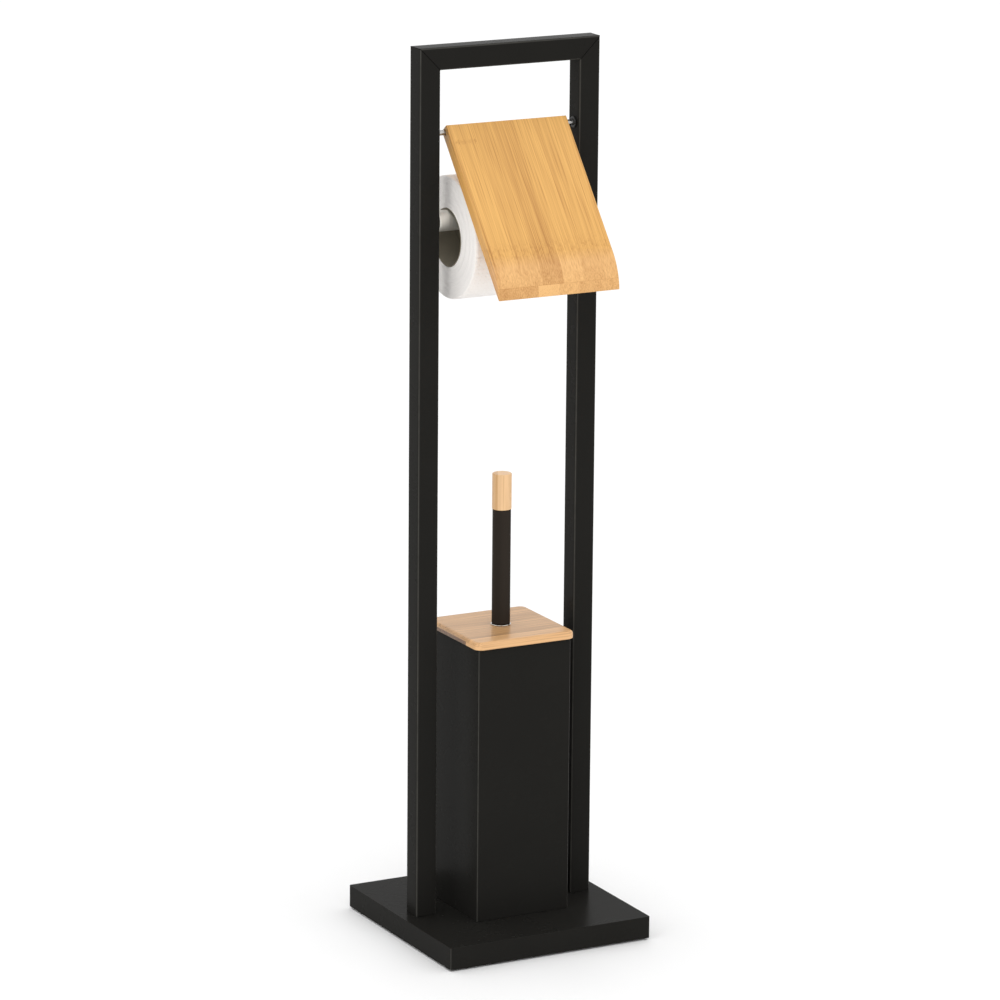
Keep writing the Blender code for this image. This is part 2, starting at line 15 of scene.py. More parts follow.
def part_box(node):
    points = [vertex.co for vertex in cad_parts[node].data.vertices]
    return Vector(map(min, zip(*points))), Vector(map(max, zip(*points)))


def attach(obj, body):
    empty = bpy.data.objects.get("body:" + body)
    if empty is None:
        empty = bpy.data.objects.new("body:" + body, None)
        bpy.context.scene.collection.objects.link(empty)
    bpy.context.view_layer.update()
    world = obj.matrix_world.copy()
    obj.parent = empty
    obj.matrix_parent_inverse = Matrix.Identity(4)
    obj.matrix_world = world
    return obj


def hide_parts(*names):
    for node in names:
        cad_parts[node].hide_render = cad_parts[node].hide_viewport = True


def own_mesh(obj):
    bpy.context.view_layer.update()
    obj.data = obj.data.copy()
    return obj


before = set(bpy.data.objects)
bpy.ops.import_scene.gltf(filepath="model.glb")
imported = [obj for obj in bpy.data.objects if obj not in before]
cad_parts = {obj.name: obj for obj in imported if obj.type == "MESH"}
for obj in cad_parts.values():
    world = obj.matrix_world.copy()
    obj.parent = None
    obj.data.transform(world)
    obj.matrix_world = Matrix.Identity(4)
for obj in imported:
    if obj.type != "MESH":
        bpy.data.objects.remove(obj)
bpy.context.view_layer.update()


# ---------------------------------------------------------------------------------------------
# Base tray: mild steel sheet folded down on four sides, its corners welded and ground flush.
# It is powder coated satin black, which leaves a fine orange peel. It lies upside down over the
# ballast slab, and its folds are softly rounded.

BLACK_COAT = (0.0134, 0.0129, 0.0116)
COAT_GLOSS = 1.07  # index of refraction, low because the coat is matted
COAT_CORNER_HIGHLIGHT = 4.2  # how much lighter a rounded corner is painted, as the highlight along it
PEEL_SIZE = 1500  # bumps to a metre
PEEL_DEPTH = 0.0000035
RUB_SIZE = (70, 70, 90)
SHEET_FOLD = 0.0007  # how far a folded edge is rounded


def place(tree, kind, inputs=None, **settings):
    """Adds a node. Each input takes a plain value, or the socket that feeds it."""
    made = tree.nodes.new(kind)
    for key, value in settings.items():
        setattr(made, key, value)
    for key, value in (inputs or {}).items():
        if isinstance(value, bpy.types.NodeSocket):
            tree.links.new(value, made.inputs[key])
        else:
            made.inputs[key].default_value = value
    return made


def sums(tree, operation, *values):
    """The result of one Math node."""
    return place(tree, "ShaderNodeMath", dict(enumerate(values)), operation=operation).outputs[0]


def new_finish(name, roughness, **fixed):
    """An empty Principled material, with the inputs that are the same all over already set."""
    finish = bpy.data.materials.new(name)
    finish.use_nodes = True
    shader = finish.node_tree.nodes["Principled BSDF"]
    shader.inputs["Roughness"].default_value = roughness
    for key, value in fixed.items():
        shader.inputs[key.replace("_", " ")].default_value = value
    return finish, finish.node_tree, shader


def object_point(tree, turn=(0, 0, 0), move=(0, 0, 0), scale=(1, 1, 1)):
    """Where a surface point lies, after the pattern's own move, turn and stretch."""
    point = place(tree, "ShaderNodeTexCoord").outputs["Object"]
    moved = place(tree, "ShaderNodeVectorMath", {0: point, 1: move}, operation="SUBTRACT")
    inputs = {"Vector": moved.outputs[0], "Rotation": turn, "Scale": scale}
    return place(tree, "ShaderNodeMapping", inputs).outputs[0]


def noise(tree, point, scale, detail=2.0, rough=0.5):
    inputs = {"Vector": point, "Scale": scale, "Detail": detail, "Roughness": rough}
    return place(tree, "ShaderNodeTexNoise", inputs).outputs["Fac"]


def spread(tree, value, low, high, start=0.0, end=1.0):
    """Maps start..end to low..high, held at both ends."""
    inputs = {0: value, 1: start, 2: end, 3: low, 4: high}
    return place(tree, "ShaderNodeMapRange", inputs).outputs[0]


def tint(tree, amount, low, high):
    """A colour between low and high."""
    inputs = {0: amount}
    for index, colour in ((6, low), (7, high)):
        inputs[index] = colour if isinstance(colour, bpy.types.NodeSocket) else (*colour, 1)
    return place(tree, "ShaderNodeMix", inputs, data_type="RGBA").outputs[2]


def bump(tree, shader, height, depth, below=None):
    """Adds fine relief, depth metres deep."""
    inputs = {"Height": height, "Distance": depth, "Strength": 1.0}
    if below:
        inputs["Normal"] = below
    made = place(tree, "ShaderNodeBump", inputs).outputs[0]
    tree.links.new(made, shader.inputs["Normal"])
    return made


def powder_coat(name, colour, roughness, corner_highlight):
    """Satin powder coat: fine orange peel, a little cloudiness, faint rubbing marks, and a painted
    highlight along the rounded corners, whose colour is made lighter by the given factor. A corner
    is where the surface faces between two axes, but not between three, which leaves the ends of
    mitred tubes dark."""
    finish, tree, shader = new_finish(name, roughness, IOR=COAT_GLOSS)
    point = object_point(tree)
    cloud = noise(tree, point, 14, 3)
    peel = noise(tree, point, PEEL_SIZE, 1)
    rub = noise(tree, object_point(tree, scale=RUB_SIZE), 1, 4, 0.6)
    lighter = tuple(value * 1.25 for value in colour)
    facing = place(tree, "ShaderNodeTexCoord").outputs["Normal"]
    square = place(tree, "ShaderNodeVectorMath", {0: facing}, operation="ABSOLUTE").outputs[0]
    square = place(tree, "ShaderNodeSeparateXYZ", {0: square}).outputs
    most = sums(tree, "MAXIMUM", square["X"], sums(tree, "MAXIMUM", square["Y"], square["Z"]))
    least = sums(tree, "MINIMUM", square["X"], sums(tree, "MINIMUM", square["Y"], square["Z"]))
    # Painted highlight: the rounded corners get a lighter colour in place of the highlight along
    # them.
    between_two = spread(tree, most, 1, 0, 0.78, 0.97)
    not_three = spread(tree, least, 1, 0, 0.1, 0.3)
    reached = sums(tree, "MULTIPLY", between_two, not_three)
    corner = sums(tree, "MULTIPLY", reached, spread(tree, rub, 0.75, 1, 0.35, 0.6))
    highlight_colour = tuple(value * corner_highlight for value in colour)
    colours = tint(tree, corner, tint(tree, cloud, colour, lighter), highlight_colour)
    tree.links.new(colours, shader.inputs["Base Color"])
    clouded = spread(tree, cloud, -0.02, 0.02, 0.3, 0.7)
    uneven = sums(tree, "ADD", clouded, spread(tree, rub, 0, 0.03, 0.5, 0.8))
    tree.links.new(sums(tree, "ADD", uneven, roughness), shader.inputs["Roughness"])
    bump(tree, shader, peel, PEEL_DEPTH)
    return finish


def shown(name, mesh, finish, body, slot, *nodes, sharp=35):
    """Makes an object of a bmesh or a mesh, and puts it in place of CAD nodes on one body."""
    data = mesh
    if isinstance(mesh, bmesh.types.BMesh):
        data = bpy.data.meshes.new(name)
        mesh.to_mesh(data)
        mesh.free()
    data.name = name
    data.shade_smooth()
    data.set_sharp_from_angle(angle=math.radians(sharp))
    data.materials.clear()
    data.materials.append(finish)
    made = bpy.data.objects.new(name, data)
    bpy.context.scene.collection.objects.link(made)
    flat = made.modifiers.new("flat_faces", "WEIGHTED_NORMAL")
    flat.keep_sharp = True
    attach(made, body)
    if nodes:
        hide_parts(*nodes)
    return made


def softened(node, radius, steps=3, angle=50):
    """A copy of a CAD solid with its edges rounded, as a bmesh."""
    mesh = bmesh.new()
    mesh.from_mesh(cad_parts[node].data)
    bmesh.ops.remove_doubles(mesh, verts=mesh.verts, dist=2e-6)
    bmesh.ops.dissolve_limit(mesh, angle_limit=math.radians(1), verts=mesh.verts, edges=mesh.edges)
    edges = [e for e in mesh.edges if e.is_manifold and e.calc_face_angle(0) > math.radians(angle)]
    if radius:
        bmesh.ops.bevel(
            mesh, geom=edges, offset=radius, segments=steps, profile=0.5,
            affect="EDGES", clamp_overlap=True,
        )
    bmesh.ops.recalc_face_normals(mesh, faces=mesh.faces)
    return mesh


black = powder_coat("black_powder_coat", BLACK_COAT, 0.27, COAT_CORNER_HIGHLIGHT)
mesh = softened("base_cover", SHEET_FOLD)
shown("base_tray", mesh, black, "stand", "black_powder_coat", "base_cover")


# ---------------------------------------------------------------------------------------------
# Ballast, closing plate and feet: a slab of cast concrete fills the tray, a thin moulded plate
# closes it, and four rubber pads with turned rings are glued under its corners.

CONCRETE = (0.33, 0.32, 0.30)
CONCRETE_SPECKS = (0.5, 0.48, 0.44)
CLOSING_PLATE = (0.012, 0.012, 0.012)
RUBBER = (0.018, 0.018, 0.018)
FOOT_EDGE = 0.0004
FOOT_RINGS = 3
FOOT_RING_WIDTH = 0.001
FOOT_RING_SLOPE = 0.0002
FOOT_RING_DEPTH = 0.0002


def dress(node, finish):
    """Gives a CAD node a better finish."""
    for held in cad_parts[node].material_slots:
        held.material = finish


def concrete(name, colour):
    """Cast mortar: sand grains, cloudy cement and a few air holes."""
    finish, tree, shader = new_finish(name, 0.9)
    point = object_point(tree)
    grains = place(tree, "ShaderNodeTexVoronoi", {"Vector": point, "Scale": 700.0})
    cloud = noise(tree, point, 40, 5, 0.6)
    darker = tuple(value * 0.6 for value in colour)
    base = tint(tree, cloud, darker, colour)
    speckled = tint(tree, spread(tree, grains.outputs["Color"], 0, 0.35), base, CONCRETE_SPECKS)
    tree.links.new(speckled, shader.inputs["Base Color"])
    air = place(tree, "ShaderNodeTexVoronoi", {"Vector": point, "Scale": 160.0})
    holes = spread(tree, air.outputs["Distance"], 0, 1, 0.12, 0.2)
    bump(tree, shader, sums(tree, "MULTIPLY_ADD", cloud, 0.4, holes), 0.0003)
    return finish


def moulded(name, colour, roughness, grain=0.00002):
    """Injection-moulded plastic: a spark-eroded grain and slight sink marks."""
    finish, tree, shader = new_finish(name, roughness, IOR=1.49)
    point = object_point(tree)
    fine = noise(tree, point, 2600, 2)
    broad = noise(tree, point, 30, 2)
    darker = tuple(value * 0.86 for value in colour)
    tree.links.new(tint(tree, broad, darker, colour), shader.inputs["Base Color"])
    rough = spread(tree, broad, roughness - 0.05, roughness + 0.07, 0.3, 0.7)
    tree.links.new(rough, shader.inputs["Roughness"])
    bump(tree, shader, fine, grain)
    return finish


def turned(profile, sides=96, closed=True):
    """A solid of revolution round Z from (radius, height) pairs. A radius of 0 is a pole."""
    mesh = bmesh.new()
    rows = []
    for radius, level in profile:
        count = sides if radius > 0 else 1
        row = []
        for i in range(count):
            angle = math.tau * i / count
            spot = (radius * math.cos(angle), radius * math.sin(angle), level)
            row.append(mesh.verts.new(spot))
        rows.append(row)
    pairs = list(zip(rows, rows[1:]))
    if closed:
        pairs.append((rows[-1], rows[0]))
    for first, second in pairs:
        if len(first) == len(second) == 1:
            continue
        for i in range(sides):
            ring = [first[i % len(first)], first[(i + 1) % len(first)]]
            ring += [second[(i + 1) % len(second)], second[i % len(second)]]
            mesh.faces.new(list(dict.fromkeys(ring)))
    bmesh.ops.recalc_face_normals(mesh, faces=mesh.faces)
    return mesh


def grown(name, tree, **sizes):
    """The plain mesh that a Geometry Nodes tree makes with these sizes."""
    seed = bpy.data.objects.new(name, bpy.data.meshes.new(name + "_start"))
    bpy.context.scene.collection.objects.link(seed)
    nodes = seed.modifiers.new("nodes", "NODES")
    nodes.node_group = tree
    for item in tree.interface.items_tree:
        if item.item_type == "SOCKET" and item.in_out == "INPUT" and item.name in sizes:
            nodes[item.identifier] = sizes[item.name]
    graph = bpy.context.evaluated_depsgraph_get()
    mesh = bpy.data.meshes.new_from_object(seed.evaluated_get(graph), depsgraph=graph)
    seed.modifiers.remove(nodes)
    bpy.data.objects.remove(seed)
    return mesh


def new_tree(name, **inputs):
    """A Geometry Nodes tree with named inputs: a number, a whole number, or a socket type."""
    tree = bpy.data.node_groups.new(name, "GeometryNodeTree")
    tree.interface.new_socket("Geometry", in_out="OUTPUT", socket_type="NodeSocketGeometry")
    for key, value in inputs.items():
        kind = value if isinstance(value, str) else "Int" if isinstance(value, int) else "Float"
        made = tree.interface.new_socket(key, in_out="INPUT", socket_type=f"NodeSocket{kind}")
        if kind in ("Int", "Float"):
            made.default_value = value
    return tree, place(tree, "NodeGroupInput").outputs


def finish_tree(tree, geometry, material):
    """Ends a tree: real geometry in place of instances, then the material."""
    real = place(tree, "GeometryNodeRealizeInstances", {0: geometry}).outputs[0]
    done = place(tree, "GeometryNodeSetMaterial", {"Geometry": real, "Material": material})
    place(tree, "NodeGroupOutput", {0: done.outputs[0]})


def set_round(name, start, places, finish):
    """Repeats one bmesh at each of places, by a Geometry Nodes tree."""
    master = bpy.data.objects.new(name + "_master", bpy.data.meshes.new(name + "_master"))
    start.to_mesh(master.data)
    start.free()
    tree, sizes = new_tree(name, Master="Object", Finish="Material")
    joined = place(tree, "GeometryNodeJoinGeometry")
    for spot in places:
        point = place(tree, "GeometryNodePoints", {"Count": 1, "Position": spot})
        tree.links.new(point.outputs[0], joined.inputs[0])
    source = place(tree, "GeometryNodeObjectInfo", {"Object": sizes["Master"]})
    inputs = {"Points": joined.outputs[0], "Instance": source.outputs["Geometry"]}
    copies = place(tree, "GeometryNodeInstanceOnPoints", inputs)
    finish_tree(tree, copies.outputs[0], sizes["Finish"])
    mesh = grown(name, tree, Master=master, Finish=finish)
    bpy.data.objects.remove(master)
    return mesh


def middle(node):
    low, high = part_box(node)
    return (low + high) / 2


ballast = concrete("cast_concrete", CONCRETE)
dress("base_weight", ballast)
dress("base_bottom", moulded("black_plate", CLOSING_PLATE, 0.55, 0.00004))

feet = [f"foot_{row}_{side}" for row in ("front", "back") for side in ("left", "right")]
foot_low, foot_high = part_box(feet[0])
foot_radius = (foot_high.x - foot_low.x) / 2
pad = [(0, foot_high.z), (foot_radius, foot_high.z), (foot_radius, FOOT_EDGE)]
pad.append((foot_radius - FOOT_EDGE, 0))
for i in range(FOOT_RINGS):
    outer = foot_radius * (0.8 - 0.22 * i)
    inner = outer - FOOT_RING_WIDTH
    pad += [(outer, 0), (outer - FOOT_RING_SLOPE, FOOT_RING_DEPTH)]
    pad += [(inner + FOOT_RING_SLOPE, FOOT_RING_DEPTH), (inner, 0)]
pad.append((0, 0))
rubber = moulded("black_rubber", RUBBER, 0.8, 0.00005)
spots = [Vector((middle(foot).x, middle(foot).y, 0)) for foot in feet]
mesh = set_round("feet", turned(pad, 48, False), spots, rubber)
shown("rubber_feet", mesh, rubber, "stand", "black_rubber", *feet)


# ---------------------------------------------------------------------------------------------
# Frame: three lengths of square steel tube, mitred and welded at the top corners. Each weld is
# ground back to a fine line, and the frame is powder coated with the tray. The mitred ends keep
# a hair of radius under the coat, and so do the punched holes.

TUBE_EDGE = 0.00018
TUBE_CORNER = 0.0020
WELD_RADIUS = 0.00016
# Painted shade: the weld bead is coloured darker than the tubes' coat, in place of the shade in the
# fine groove at each mitre.
WELD_SHADE_BLACK = (0.0030, 0.0028, 0.0025)

for tube in ("left_upright", "right_upright", "top_bar"):
    mesh = softened(tube, TUBE_EDGE, 2, 40)
    shown(tube + "_tube", mesh, black, "stand", "black_powder_coat", tube)


def swept_round(tree, path, radius, sides):
    """A round wire along a curve, with its ends filled."""
    inputs = {"Resolution": sides, "Radius": radius}
    ring = place(tree, "GeometryNodeCurvePrimitiveCircle", inputs)
    inputs = {0: path, 1: ring.outputs[0], "Fill Caps": True}
    return place(tree, "GeometryNodeCurveToMesh", inputs).outputs[0]


weld_tree, sizes = new_tree(
    "mitre_weld", Tube=0.02, Corner=0.002, Lean=1.0, Radius=0.0002,
    Centre="Vector", Finish="Material",
)
inputs = {0: sizes["Tube"], 1: sizes["Tube"]}
loop = place(weld_tree, "GeometryNodeCurvePrimitiveQuadrilateral", inputs)
inputs = {0: loop.outputs[0], "Count": 8, "Radius": sizes["Corner"]}
fillet = place(weld_tree, "GeometryNodeFilletCurve", inputs, mode="POLY")
spot = place(weld_tree, "GeometryNodeInputPosition").outputs[0]
at = place(weld_tree, "ShaderNodeSeparateXYZ", {0: spot})
rise = sums(weld_tree, "MULTIPLY", at.outputs["X"], sizes["Lean"])
leant = place(weld_tree, "ShaderNodeCombineXYZ", {0: at.outputs["X"], 1: at.outputs["Y"], 2: rise})
inputs = {0: leant.outputs[0], 1: sizes["Centre"]}
moved = place(weld_tree, "ShaderNodeVectorMath", inputs, operation="ADD")
inputs = {0: fillet.outputs[0], "Position": moved.outputs[0]}
path = place(weld_tree, "GeometryNodeSetPosition", inputs).outputs[0]
finish_tree(weld_tree, swept_round(weld_tree, path, sizes["Radius"], 8), sizes["Finish"])
weld_coat = powder_coat("weld_coat", WELD_SHADE_BLACK, 0.5, 1.0)

for side, upright in ((-1, "left_upright"), (1, "right_upright")):
    low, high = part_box(upright)
    tube_size = high.x - low.x
    centre = (middle(upright).x, 0, high.z - tube_size / 2)
    mesh = grown(
        f"weld_{upright}", weld_tree, Tube=tube_size, Corner=TUBE_CORNER, Lean=float(side),
        Radius=WELD_RADIUS, Centre=centre, Finish=weld_coat,
    )
    shown(f"mitre_weld_{upright}", mesh, weld_coat, "stand", "black_powder_coat", sharp=180)


# ---------------------------------------------------------------------------------------------
# Frame screws: a threaded block sits in each upright's foot, and a socket-head screw with a
# washer draws it down from under the base. All are zinc plated, with a faint yellow cast.

ZINC = (0.52, 0.52, 0.50)
SCREW_EDGE = 0.0003


def steel(name, colour, roughness, streaks=(1, 1, 1), depth=0.000004):
    """Bare or plated steel. The streaks run along the axis whose scale is the smallest."""
    finish, tree, shader = new_finish(name, roughness, Metallic=1.0)
    lines = noise(tree, object_point(tree, scale=streaks), 1, 3, 0.6)
    cloud = noise(tree, object_point(tree), 60, 3)
    darker = tuple(value * 0.8 for value in colour)
    tree.links.new(tint(tree, lines, darker, colour), shader.inputs["Base Color"])
    lined = spread(tree, lines, -0.07, 0.09, 0.3, 0.7)
    rough = sums(tree, "ADD", lined, spread(tree, cloud, roughness - 0.03, roughness + 0.05))
    tree.links.new(rough, shader.inputs["Roughness"])
    bump(tree, shader, lines, depth)
    return finish


def at_origin(mesh, node):
    """Moves a copy of a CAD node so that its axis is the Z axis."""
    centre = middle(node)
    bmesh.ops.translate(mesh, vec=(-centre.x, -centre.y, 0), verts=mesh.verts)
    return mesh


zinc = steel("zinc_plate", ZINC, 0.34, (900, 900, 900))
for plug in ("upright_plug_left", "upright_plug_right", "handle_plug"):
    dress(plug, zinc)
for group in ("frame_washer", "frame_bolt", "canister_screw", "canister_nut"):
    pair = [f"{group}_left", f"{group}_right"]
    spots = [Vector((middle(member).x, 0, 0)) for member in pair]
    master = at_origin(softened(pair[0], SCREW_EDGE, 2, 50), pair[0])
    shown(f"{group}s", set_round(group, master, spots, zinc), zinc, "stand", "steel", *pair)


# ---------------------------------------------------------------------------------------------
# Flap rod: 5 mm drawn steel rod across the frame. Each end turns in a black nylon bush that is
# pushed into a hole in the upright, with its flange against the inner face.

BARE_STEEL = (0.56, 0.55, 0.53)
ROD_CHAMFER = 0.0004
NYLON_BLACK = (0.007, 0.007, 0.007)
BUSH_EDGE = 0.0002


def laid(mesh, x, height):
    """Turns a mesh made round Z so that it lies along X, at this height."""
    turn = Matrix.Rotation(math.pi / 2, 4, "Y")
    bmesh.ops.transform(mesh, matrix=Matrix.Translation((x, 0, height)) @ turn, verts=mesh.verts)
    return mesh


rod_low, rod_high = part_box("flap_rod")
rod_axis = middle("flap_rod").z
rod_radius = (rod_high.z - rod_low.z) / 2
rod_reach = rod_high.x
rod = [
    (0, -rod_reach), (rod_radius - ROD_CHAMFER, -rod_reach), (rod_radius, ROD_CHAMFER - rod_reach),
    (rod_radius, rod_reach - ROD_CHAMFER), (rod_radius - ROD_CHAMFER, rod_reach), (0, rod_reach),
]
drawn_steel = steel("drawn_steel", BARE_STEEL, 0.24, (30, 1500, 1500))
mesh = laid(turned(rod, 64, False), 0, rod_axis)
shown("flap_rod_steel", mesh, drawn_steel, "stand", "steel", "flap_rod")
nylon = moulded("black_nylon", NYLON_BLACK, 0.5)
for side in ("left", "right"):
    bush = f"rod_bush_{side}"
    shown(f"{bush}_nylon", softened(bush, BUSH_EDGE, 2), nylon, "stand", "black_plastic", bush)


# ---------------------------------------------------------------------------------------------
# Flap: a board of two plies of bamboo strips, glued side by side and face to face. Its lower end
# is rounded over, which cuts through the front ply and shows the strips' ends. Satin lacquer.

FLAP_COLOURS = (0.41, 0.174, 0.032), (0.79, 0.440, 0.120)
FLAP_STRIP = 0.0202
FLAP_TONES = (0.58, 0.63, 0.60, 0.46, 0.68, 0.58, 0.63)  # front ply, left to right
FLAP_BACK_TONES = (0.50, 0.48, 0.50, 0.76, 0.66, 0.56, 0.60)
FLAP_JOINTS = (1, -0.014, 1, 1, 1, 1, 1)  # where a strip has a culm's joint; 1 is none
FLAP_CUT_END = 0.127  # how far below the rod the rounding starts
FLAP_SHIFT = -0.0151  # from the middle of the board to the middle of the middle strip's edge
FIBRE_SIZE = (1050, 7, 1050)  # how often fibres change to a metre: across, along and through
BAND_SIZE = (110, 2.2, 110)
BUNDLE_SIZE = (1000, 16, 1000)
RAGGED_SIZE = (620, 260, 260)
GLUE_WIDTH = 0.00012
CUT_BLEND = 0.012
CUT_FIBRE = (0.47, 0.215, 0.060), (0.80, 0.465, 0.190)  # where the grain is cut across


def pulled(tree, point, sizes):
    """The point with each axis scaled, so that a pattern is drawn out along the smallest."""
    return place(tree, "ShaderNodeMapping", {"Vector": point, "Scale": sizes}).outputs[0]


def bamboo(
    name, strip, tones, colours, axes, turn, move,
    ply_shift=0.25, joints=None, cut_end=9.0, gloss=0.25,
):
    """Laminated bamboo. axes says which of the board's X, Y and Z run across the strips, along
    their grain and through the plies. tones holds each ply's strips from dark 0 to pale 1."""
    finish, tree, shader = new_finish(
        name, 0.42, IOR=1.42, Coat_Weight=gloss, Coat_Roughness=0.18, Coat_IOR=1.45
    )
    board = place(tree, "ShaderNodeSeparateXYZ", {0: object_point(tree, turn, move)}).outputs
    across, along, through = (board[axis] for axis in axes)
    grain = place(tree, "ShaderNodeCombineXYZ", {0: across, 1: along, 2: through}).outputs[0]

    # Which strip of which ply a point is in.
    ply = sums(tree, "GREATER_THAN", through, 0.0)
    place_in_row = sums(tree, "MULTIPLY_ADD", ply, ply_shift, sums(tree, "DIVIDE", across, strip))
    cell = sums(tree, "FLOOR", place_in_row)
    inside = sums(tree, "FRACT", place_in_row)
    count = len(tones[0])
    index = sums(tree, "MULTIPLY_ADD", ply, float(count), sums(tree, "ADD", cell, count // 2 + 0.5))
    ramp = place(tree, "ShaderNodeValToRGB", {0: sums(tree, "DIVIDE", index, 2.0 * count)})
    ramp.color_ramp.interpolation = "CONSTANT"
    stops = ramp.color_ramp.elements
    joints = (joints or (1,) * count) + (1,) * count
    for i, (tone, joint) in enumerate(zip((*tones[0], *tones[1]), joints)):
        stop = stops[0] if i == 0 else stops.new(i / (2 * count))
        stop.color = (tone, joint * 0.5 + 0.5, 0, 1)
    stops.remove(stops[-1])
    looked_up = place(tree, "ShaderNodeSeparateColor", {0: ramp.outputs[0]}).outputs
    joint = sums(tree, "MULTIPLY_ADD", looked_up[1], 2.0, -1.0)

    # Cut ends soak up lacquer, so the strips differ more there.
    cut = spread(tree, sums(tree, "MULTIPLY", along, -1.0), 0, 1, cut_end, cut_end + CUT_BLEND)
    contrast = sums(tree, "MULTIPLY_ADD", cut, 1.0, 1.0)
    tone = sums(tree, "MULTIPLY_ADD", sums(tree, "SUBTRACT", looked_up[0], 0.6), contrast, 0.6)

    # Fibres run along the grain, and their cut ends show as dots.
    own = sums(tree, "MULTIPLY", cell, 0.37)
    own_part = place(tree, "ShaderNodeCombineXYZ", {0: own, 1: own, 2: ply}).outputs[0]
    inputs = {0: grain, 1: own_part}
    shifted = place(tree, "ShaderNodeVectorMath", inputs, operation="ADD").outputs[0]
    streak = noise(tree, pulled(tree, shifted, FIBRE_SIZE), 1, 4, 0.62)
    band = noise(tree, pulled(tree, shifted, BAND_SIZE), 1, 2, 0.5)
    inputs = {"Vector": pulled(tree, shifted, BUNDLE_SIZE), "Scale": 1.0}
    bundle = place(tree, "ShaderNodeTexVoronoi", inputs).outputs["Distance"]
    fibre = spread(tree, bundle, 0.0, 1.0, 0.1, 0.42)

    # A culm's joint crosses some strips, as a band of short dark scars.
    wander = noise(tree, grain, 420, 3, 0.6)
    level = sums(tree, "MULTIPLY_ADD", wander, 0.010, sums(tree, "SUBTRACT", joint, 0.005))
    off = sums(tree, "ABSOLUTE", sums(tree, "SUBTRACT", along, level))
    near = spread(tree, off, 1.0, 0.0, 0.0003, 0.0026)
    scar = sums(tree, "MULTIPLY", near, spread(tree, streak, 0, 1, 0.42, 0.6))

    # Where the rounding starts to cut the fibres, their ends show as short ragged strokes.
    ragged = noise(tree, pulled(tree, grain, RAGGED_SIZE), 1, 3, 0.6)
    start = sums(tree, "ABSOLUTE", sums(tree, "ADD", along, cut_end - 0.001))
    near = spread(tree, start, 0.5, 0, 0.004, 0.014)
    feather = sums(tree, "MULTIPLY", near, spread(tree, ragged, 0, 1, 0.46, 0.62))

    # Glue lines between the strips and between the plies.
    edge = sums(tree, "ABSOLUTE", sums(tree, "SUBTRACT", inside, 0.5))
    seam = spread(tree, edge, 0.0, 1.0, 0.5 - GLUE_WIDTH / strip, 0.5)
    face = spread(tree, sums(tree, "ABSOLUTE", through), 1.0, 0.0, 0.00006, 0.00022)
    glue = sums(tree, "MAXIMUM", seam, face)

    shade = sums(tree, "MULTIPLY_ADD", streak, 1.50, sums(tree, "SUBTRACT", tone, 0.75))
    shade = sums(tree, "MULTIPLY_ADD", band, 0.45, sums(tree, "SUBTRACT", shade, 0.22))
    shade = sums(tree, "MULTIPLY_ADD", fibre, 0.40, sums(tree, "SUBTRACT", shade, 0.32))
    shade = sums(tree, "MULTIPLY_ADD", glue, -0.22, shade)
    shade = sums(tree, "MULTIPLY_ADD", sums(tree, "MAXIMUM", scar, feather), -0.50, shade)
    wood = tint(tree, shade, *colours)
    wood = tint(tree, sums(tree, "MULTIPLY", cut, 0.8), wood, tint(tree, shade, *CUT_FIBRE))
    tree.links.new(wood, shader.inputs["Base Color"])
    tree.links.new(spread(tree, streak, 0.36, 0.50), shader.inputs["Roughness"])
    relief = sums(tree, "SUBTRACT", sums(tree, "MULTIPLY", fibre, 0.35), glue)
    bump(tree, shader, relief, 0.00002)
    return finish


def corners_of(node):
    """Where the corners of a CAD solid lie."""
    return [corner.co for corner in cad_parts[node].data.vertices]


show_face = max(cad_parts["flap_board"].data.polygons, key=lambda face: face.area)
flap_lean = math.atan2(abs(show_face.normal.z), abs(show_face.normal.y))
to_board = Matrix.Rotation(flap_lean, 3, "X")
rod_middle = middle("flap_rod")
depths = [(to_board @ (corner - rod_middle)).y for corner in corners_of("flap_board")]
flap_glue = Vector((FLAP_SHIFT, 0, 0)) + rod_middle
flap_glue += to_board.transposed() @ Vector((0, (min(depths) + max(depths)) / 2, 0))
flap_bamboo = bamboo(
    "flap_bamboo", FLAP_STRIP, (FLAP_TONES, FLAP_BACK_TONES), FLAP_COLOURS, (0, 2, 1),
    (flap_lean, 0, 0), flap_glue, joints=FLAP_JOINTS, cut_end=FLAP_CUT_END,
)
shown("flap", softened("flap_board", 0.0, 1), flap_bamboo, "flap", "bamboo", "flap_board", sharp=50)


# ---------------------------------------------------------------------------------------------
# Spindle: two brushed steel tubes, one sliding in the other against a spring, each with a short
# stud that stands in a hole of its upright. The ends are closed and their rims rolled over.

BRUSHED_STEEL = (0.95, 0.93, 0.87)
SPINDLE_RIM = 0.0008
SPINDLE_WALL = 0.001
SPINDLE_END = 0.002
STUD_CHAMFER = 0.0005
SPRING_TURNS = 7
SPRING_WIRE = 0.0006

